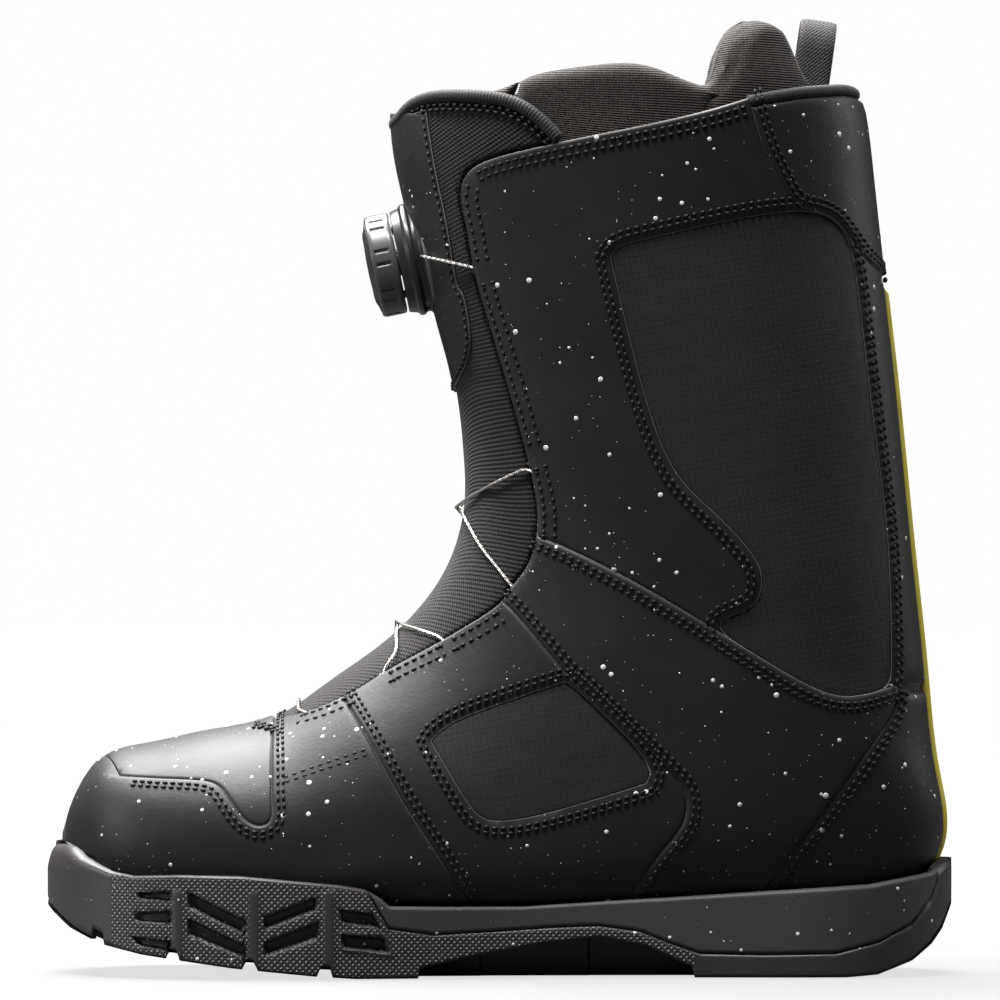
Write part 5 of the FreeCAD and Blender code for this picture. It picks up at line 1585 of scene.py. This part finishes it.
def seamMesh(name, lines):
    verts, edges, ups = [], [], []
    for points, normals in lines:
        start = len(verts)
        verts += points.tolist()
        ups += normals.tolist()
        edges += [(start + k, start + k + 1) for k in range(len(points) - 1)]
    data = bpy.data.meshes.new(name)
    data.from_pydata((np.array(verts) * mm).tolist(), edges, [])
    data.attributes.new("up", "FLOAT_VECTOR", "POINT").data.foreach_set("vector",
        np.array(ups, np.float32).ravel())
    obj = bpy.data.objects.new(name, data)
    bpy.context.scene.collection.objects.link(obj)
    return obj


def nodeGroup(name, inputs):
    tree = bpy.data.node_groups.new(name, "GeometryNodeTree")
    tree.interface.new_socket("Geometry", in_out="INPUT", socket_type="NodeSocketGeometry")
    for label, kind, value in inputs:
        socket = tree.interface.new_socket(label, in_out="INPUT", socket_type=kind)
        if value is not None:
            socket.default_value = value
    tree.interface.new_socket("Geometry", in_out="OUTPUT", socket_type="NodeSocketGeometry")
    return tree, tree.nodes.new("NodeGroupInput"), tree.nodes.new("NodeGroupOutput")


def stitchTree():
    tree, given, out = nodeGroup("Stitches", [
        ("Pitch", "NodeSocketFloat", 0.0023), ("Length", "NodeSocketFloat", 0.0008),
            ("Thickness", "NodeSocketFloat", 0.0003),
        ("Thread", "NodeSocketMaterial", None)])
    curve = tree.nodes.new("GeometryNodeMeshToCurve")
    even = tree.nodes.new("GeometryNodeResampleCurve")
    if hasattr(even, "mode"):
        even.mode = "LENGTH"
    ball = tree.nodes.new("GeometryNodeMeshUVSphere")
    ball.inputs["Segments"].default_value = 6
    ball.inputs["Rings"].default_value = 4
    ball.inputs["Radius"].default_value = 1.0
    place = tree.nodes.new("GeometryNodeInstanceOnPoints")
    tangent = tree.nodes.new("GeometryNodeInputTangent")
    up = tree.nodes.new("GeometryNodeInputNamedAttribute")
    up.data_type = "FLOAT_VECTOR"
    up.inputs["Name"].default_value = "up"
    first = tree.nodes.new("FunctionNodeAlignRotationToVector")
    first.axis = "X"
    second = tree.nodes.new("FunctionNodeAlignRotationToVector")
    second.axis = "Z"
    second.pivot_axis = "X"
    size = tree.nodes.new("ShaderNodeCombineXYZ")
    real = tree.nodes.new("GeometryNodeRealizeInstances")
    smooth = tree.nodes.new("GeometryNodeSetShadeSmooth")
    finish = tree.nodes.new("GeometryNodeSetMaterial")
    links = tree.links
    links.new(given.outputs["Geometry"], curve.inputs["Mesh"])
    links.new(curve.outputs[0], even.inputs["Curve"])
    links.new(given.outputs["Pitch"], even.inputs["Length"])
    links.new(even.outputs[0], place.inputs["Points"])
    links.new(ball.outputs["Mesh"], place.inputs["Instance"])
    links.new(tangent.outputs[0], first.inputs["Vector"])
    links.new(first.outputs[0], second.inputs["Rotation"])
    links.new(up.outputs["Attribute"], second.inputs["Vector"])
    links.new(second.outputs[0], place.inputs["Rotation"])
    links.new(given.outputs["Length"], size.inputs["X"])
    links.new(given.outputs["Thickness"], size.inputs["Y"])
    links.new(given.outputs["Thickness"], size.inputs["Z"])
    links.new(size.outputs[0], place.inputs["Scale"])
    links.new(place.outputs[0], real.inputs[0])
    links.new(real.outputs[0], smooth.inputs[0])
    links.new(smooth.outputs[0], finish.inputs["Geometry"])
    links.new(given.outputs["Thread"], finish.inputs["Material"])
    links.new(finish.outputs[0], out.inputs[0])
    return tree


def speckleTree():
    tree, given, out = nodeGroup("Speckles", [
        ("Density", "NodeSocketFloat", 20000.0), ("Seed", "NodeSocketInt", 3),
            ("Smallest", "NodeSocketFloat", 0.00009),
        ("Largest", "NodeSocketFloat", 0.0009), ("Paint", "NodeSocketMaterial", None)])
    scatter = tree.nodes.new("GeometryNodeDistributePointsOnFaces")
    drop = tree.nodes.new("GeometryNodeMeshUVSphere")
    drop.inputs["Segments"].default_value = 9
    drop.inputs["Rings"].default_value = 5
    drop.inputs["Radius"].default_value = 1.0
    chance = tree.nodes.new("FunctionNodeRandomValue")
    chance.data_type = "FLOAT"
    power = tree.nodes.new("ShaderNodeMath")
    power.operation = "POWER"
    power.inputs[1].default_value = 7.0
    spread = tree.nodes.new("ShaderNodeMapRange")
    size = tree.nodes.new("ShaderNodeCombineXYZ")
    flat = tree.nodes.new("ShaderNodeMath")
    flat.operation = "MULTIPLY"
    flat.inputs[1].default_value = 0.22
    place = tree.nodes.new("GeometryNodeInstanceOnPoints")
    real = tree.nodes.new("GeometryNodeRealizeInstances")
    smooth = tree.nodes.new("GeometryNodeSetShadeSmooth")
    finish = tree.nodes.new("GeometryNodeSetMaterial")
    links = tree.links
    links.new(given.outputs["Geometry"], scatter.inputs["Mesh"])
    links.new(given.outputs["Density"], scatter.inputs["Density"])
    links.new(given.outputs["Seed"], scatter.inputs["Seed"])
    links.new(given.outputs["Seed"], chance.inputs["Seed"])
    value = [o for o in chance.outputs if o.enabled][0]
    links.new(value, power.inputs[0])
    links.new(power.outputs[0], spread.inputs["Value"])
    links.new(given.outputs["Smallest"], spread.inputs["To Min"])
    links.new(given.outputs["Largest"], spread.inputs["To Max"])
    links.new(spread.outputs[0], size.inputs["X"])
    links.new(spread.outputs[0], size.inputs["Y"])
    links.new(spread.outputs[0], flat.inputs[0])
    links.new(flat.outputs[0], size.inputs["Z"])
    links.new(scatter.outputs["Points"], place.inputs["Points"])
    links.new(drop.outputs["Mesh"], place.inputs["Instance"])
    links.new(scatter.outputs["Rotation"], place.inputs["Rotation"])
    links.new(size.outputs[0], place.inputs["Scale"])
    links.new(place.outputs[0], real.inputs[0])
    links.new(real.outputs[0], smooth.inputs[0])
    links.new(smooth.outputs[0], finish.inputs["Geometry"])
    links.new(given.outputs["Paint"], finish.inputs["Material"])
    links.new(finish.outputs[0], out.inputs[0])
    return tree


def grown(name, base, tree, values):
    mod = base.modifiers.new("grow", "NODES")
    mod.node_group = tree
    for item in tree.interface.items_tree:
        if item.item_type == "SOCKET" and item.in_out == "INPUT" and item.name in values:
            mod[item.identifier] = values[item.name]
    graph = bpy.context.evaluated_depsgraph_get()
    graph.update()
    data = bpy.data.meshes.new_from_object(base.evaluated_get(graph))
    obj = bpy.data.objects.new(name, data)
    data.name = name
    bpy.context.scene.collection.objects.link(obj)
    bpy.data.objects.remove(base)
    return obj


stitches = stitchTree()
speckles = speckleTree()
seams = {"boot": [], "tongue": []}


def seamRow(line, offset, height, closed=False, body="boot", clip=None):
    moved = shiftedLine(outer, line, offset, closed=closed)
    if closed:
        moved = np.vstack([moved, moved[:1]])
    points = onForm(outer, moved, height)
    normals = normalAt(outer, moved)
    if clip is not None:
        keep = clip(points)
        runs = np.split(np.arange(len(points)), np.where(np.diff(keep.astype(int)) != 0)[0] + 1)
        for r_ in runs:
            if len(r_) > 3 and keep[r_[0]]:
                seams[body].append((points[r_], normals[r_]))
    else:
        seams[body].append((points, normals))


def toward(line, inside):
    target = onForm(outer, fromSide(outer, [inside]))[0]
    k = int(np.argmin(np.linalg.norm(onForm(outer, line) - target, axis=1)))
    k = min(max(k, 2), len(line) - 3)
    a = onForm(outer, shiftedLine(outer, line, 2.0, closed=False)[k:k + 1])[0]
    b = onForm(outer, shiftedLine(outer, line, -2.0, closed=False)[k:k + 1])[0]
    return 1 if np.linalg.norm(a - target) < np.linalg.norm(b - target) else -1


def rowsBy(line, inside, distances, height, clip=None, body="boot"):
    t = toward(line, inside)
    for sign in (1, -1):
        for d in distances:
            seamRow(line * [sign, 1], d * t * sign, height, False, body, clip)


def closedRows(hole, distances, height):
    for sign in (1, -1):
        loop = hole * [sign, 1]
        t = turning(outer, loop)
        for d in distances:
            seamRow(loop, -d * t, height, True)


closedRows(upperHole, (2.7, 4.7), -0.05)
closedRows(lowerHole, (2.5, 4.4), -0.25)
rowsBy(strapTopLine, (60, 90), (2.4, 4.3), -0.5)
rowsBy(strapLowLine, (60, 90), (2.4, 4.2), -0.5)
rowsBy(seamLine, (0, 60), (2.4, 4.3), -0.25)
rowsBy(heelLine, (120, 60), (2.4, 4.4), -0.15)
rowsBy(randLine[6:], (-110, 50), (2.4, 4.2), -0.4)
rowsBy(collarLine, (115, 280), (2.4, 4.4), -0.45)
topEdge = between(cuffFront, (82, 296), (-8, 274))
rowsBy(topEdge, (30, 270), (2.3, 4.9), -0.05)
frontCuff = between(cuffFront, (-13.5, 268), (12.2, 147))
group = lambda p: ((p[:, 2] > 242) & (p[:, 2] < 268)) | ((p[:, 2] > 180) & (p[:, 2] < 233)) | (
    (p[:, 2] > 149) & (p[:, 2] < 171))
rowsBy(frontCuff, (40, 210), (2.6, 6.6), -0.05, clip=group)
ankle = between(ankleFront, (3, 130.5), (-77.3, 86.6))
groupLow = lambda p: ((p[:, 0] > -37) & (p[:, 0] < -20)) | ((p[:, 0] > -16) & (p[:, 0] < -1)) | (
    (p[:, 0] > -66) & (p[:, 0] < -50))
rowsBy(ankle, (-20, 70), (2.4, 6.2), -0.25, clip=groupLow)
crossSeam = sideLine([(-72, 68), (-60, 72.3), (-46, 77)])
rowsBy(crossSeam, (-60, 50), (0.4, 2.4), -0.05)
rowsBy(shieldSide, (-30, 250), (1.4,), -0.05, body="tongue")
rowsBy(lobe, (-70, 70), (2.4, 4.2), -0.4)
for sign in (1, -1):
    seamRow(tongueLow * [sign, 1], 1.0 * sign * toward(tongueLow, (-20, 280)), 0.6, body="tongue")
    seamRow(tongueLow * [sign, 1], 2.6 * sign * toward(tongueLow, (-20, 280)), 0.6, body="tongue")
    zig = fromSide(outer, [(-83.5 + 1.1 * k, 84.4 - 0.2 * k + (0.9 if k % 2 else -0.9))
        for k in range(10)]) * [sign, 1]
    seams["boot"].append((onForm(outer, zig, -0.35), normalAt(outer, zig)))


def endBars(line, inside, places, near, far, height):
    t = toward(line, inside)
    points = onForm(outer, line)
    for x, z in places:
        k = int(np.argmin((points[:, 0] - x) ** 2 + (points[:, 2] - z) ** 2))
        for sign in (1, -1):
            bar = np.vstack([shiftedLine(outer, line, d * t, closed=False)[k]
                for d in np.linspace(near, far, 6)]) * [sign, 1]
            seams["boot"].append((onForm(outer, bar, height), normalAt(outer, bar)))


endBars(frontCuff, (40, 210), [(-13.4, 268), (-9.7, 242), (-7.4, 233), (8, 180), (9.8, 171), (12.4, 149)],
    2.6, 6.6, -0.05)
endBars(ankle, (-20, 70), [(-37, 104.5), (-20, 113.5), (-16, 115.8), (-1, 124.7), (-66, 88.8), (-50, 96.1)],
    2.4, 6.2, -0.25)
for body in ("boot", "tongue"):
    made = grown("stitches" + body.capitalize(), seamMesh("seams" + body, seams[body]), stitches,
                 {"Pitch": stitchLook["pitch"] * mm, "Length": stitchLook["long"] * mm,
                     "Thickness": stitchLook["thick"] * mm, "Thread": thread})
    keepPiece(made, body, "upper_leather")
print("stitches ready")

speckleLook = {
    "upper": {"density": 15000.0, "seed": 11, "smallest": 0.13, "largest": 1.05},
    "sole": {"density": 12000.0, "seed": 5, "smallest": 0.10, "largest": 0.8},
    "tongue": {"density": 13000.0, "seed": 23, "smallest": 0.12, "largest": 0.6},
}


def topFaces(name, objects, test=None):
    verts, faces = [], []
    for o in objects:
        co = np.array([v.co for v in o.data.vertices])
        edge = np.zeros(len(co))
        if "edge" in o.data.attributes:
            o.data.attributes["edge"].data.foreach_get("value", edge)
        start = sum(len(v) for v in verts)
        for p in o.data.polygons:
            idx = list(p.vertices)
            if edge[idx].min() < 0:
                continue
            if test is not None and not test(p):
                continue
            faces.append([start + i for i in idx])
        verts.append(co)
    data = bpy.data.meshes.new(name)
    data.from_pydata(np.vstack(verts).tolist(), [], faces)
    obj = bpy.data.objects.new(name, data)
    bpy.context.scene.collection.objects.link(obj)
    return obj


leatherPieces = [o for n, o in pieces.items() if o.data.materials and o.data.materials[0] == leather
    and "Shield" not in n]
solePieces = [pieces["soleRubber"], pieces["soleMid"]]
outside = lambda p: abs(p.normal.z) < 0.75 and p.center.z > 0.006
for name, objects, body, slotName, test in (
        ("upper", leatherPieces, "boot", "upper_leather", None),
        ("sole", solePieces, "boot", "outsole_rubber", outside),
        ("tongue", [pieces["tongueShield"]], "tongue", "upper_leather", None)):
    look = speckleLook[name]
    made = grown("speckles" + name.capitalize(), topFaces("base" + name, objects, test), speckles, {
        "Density": look["density"], "Seed": look["seed"], "Smallest": look["smallest"] * mm,
            "Largest": look["largest"] * mm, "Paint": paint})
    keepPiece(made, body, slotName)
print("speckles ready")

cadLooks = {
    "shank": shankPlate, "lasting_board": boardFibre, "dial_ratchet": spoolPlastic,
        "dial_spool": spoolPlastic,
    "lace_wound": laceSteel, "dial_pawl": spoolPlastic, "dial_clip": steel, "dial_shaft": steel,
}
for name, obj in nodes.items():
    look = cadLooks.get(name, housingDark if name.startswith("lace_tube") else None)
    if look:
        obj.data.materials.clear()
        obj.data.materials.append(look)
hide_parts("collar_pad")

stageLook = {"fill": 0.02, "backdrop": 1.0, "floorAlbedo": 0.06, "floorNear": 0.72}


def floorBuild(tree, shader):
    place = node(tree, "ShaderNodeSeparateXYZ")
    at = objectCoords(tree)
    link(tree, at, place.inputs[0])
    away = mathNode(tree, "SQRT", mathNode(tree, "ADD", mathNode(tree, "POWER", place.outputs["X"], 2.0),
        mathNode(tree, "POWER", place.outputs["Y"], 2.0)))
    glow = node(tree, "ShaderNodeMapRange", **{"From Min": 0.2, "From Max": 0.6,
        "To Min": stageLook["floorNear"], "To Max": 1.0})
    link(tree, away, glow.inputs["Value"])
    seenBy = node(tree, "ShaderNodeLightPath")
    link(tree, mathNode(tree, "MULTIPLY", glow.outputs["Result"], seenBy.outputs["Is Camera Ray"]),
        shader.inputs["Emission Strength"])
    shader.inputs["Emission Color"].default_value = (1, 1, 1, 1)
    shader.inputs["Specular IOR Level"].default_value = 0.1
    bump(tree, shader, noise(tree, at, 3.0), 0.0001, 0.1)


floorMaterial = material("paleFloor", (stageLook["floorAlbedo"],) * 3, 0.9, floorBuild)
floor = newMesh("floor", [(-6000, -6000, -0.4), (6000, -6000, -0.4), (6000, 9000, -0.4),
    (-6000, 9000, -0.4)], [[0, 1, 2, 3]], floorMaterial)
world = bpy.data.worlds.new("studio")
bpy.context.scene.world = world
world.use_nodes = True
sky = world.node_tree
background = sky.nodes["Background"]
seen = node(sky, "ShaderNodeLightPath")
mixed = node(sky, "ShaderNodeMapRange", **{"To Min": stageLook["fill"], "To Max": stageLook["backdrop"]})
link(sky, seen.outputs["Is Camera Ray"], mixed.inputs["Value"])
link(sky, mixed.outputs["Result"], background.inputs["Strength"])
background.inputs["Color"].default_value = (1, 1, 1, 1)
bpy.context.scene.view_settings.view_transform = "Standard"


def softLight(name, place, aim, size, power):
    data = bpy.data.lights.new(name, "AREA")
    data.shape = "RECTANGLE"
    data.size, data.size_y = size
    data.energy = power
    obj = bpy.data.objects.new(name, data)
    obj.location = place
    obj.rotation_euler = (Vector(aim) - Vector(place)).to_track_quat("-Z", "Y").to_euler()
    bpy.context.scene.collection.objects.link(obj)
    return obj


softLight("top", (-0.30, 0.45, 1.20), (-0.05, 0, 0.1), (1.1, 0.9), 68)
softLight("front", (-1.4, -0.35, 0.45), (-0.10, 0, 0.05), (0.4, 0.4), 6)
softLight("side", (-0.22, -0.45, 1.5), (-0.03, 0, 0.05), (0.9, 0.3), 34)
softLight("rear", (1.3, 0.5, 0.8), (0, 0, 0.2), (0.4, 0.9), 6)

cameraLook = {"distance": 3.2, "height": 0.1612, "aimX": 0.0003, "frameWidth": 0.3422}
cameraData = bpy.data.cameras.new("camera")
cameraData.sensor_width = 36
cameraData.lens = 36 * cameraLook["distance"] / cameraLook["frameWidth"]
cameraData.clip_end = 50
camera = bpy.data.objects.new("camera", cameraData)
camera.location = (cameraLook["aimX"], -cameraLook["distance"], cameraLook["height"])
camera.rotation_euler = (math.pi / 2, 0, 0)
bpy.context.scene.collection.objects.link(camera)
bpy.context.scene.camera = camera
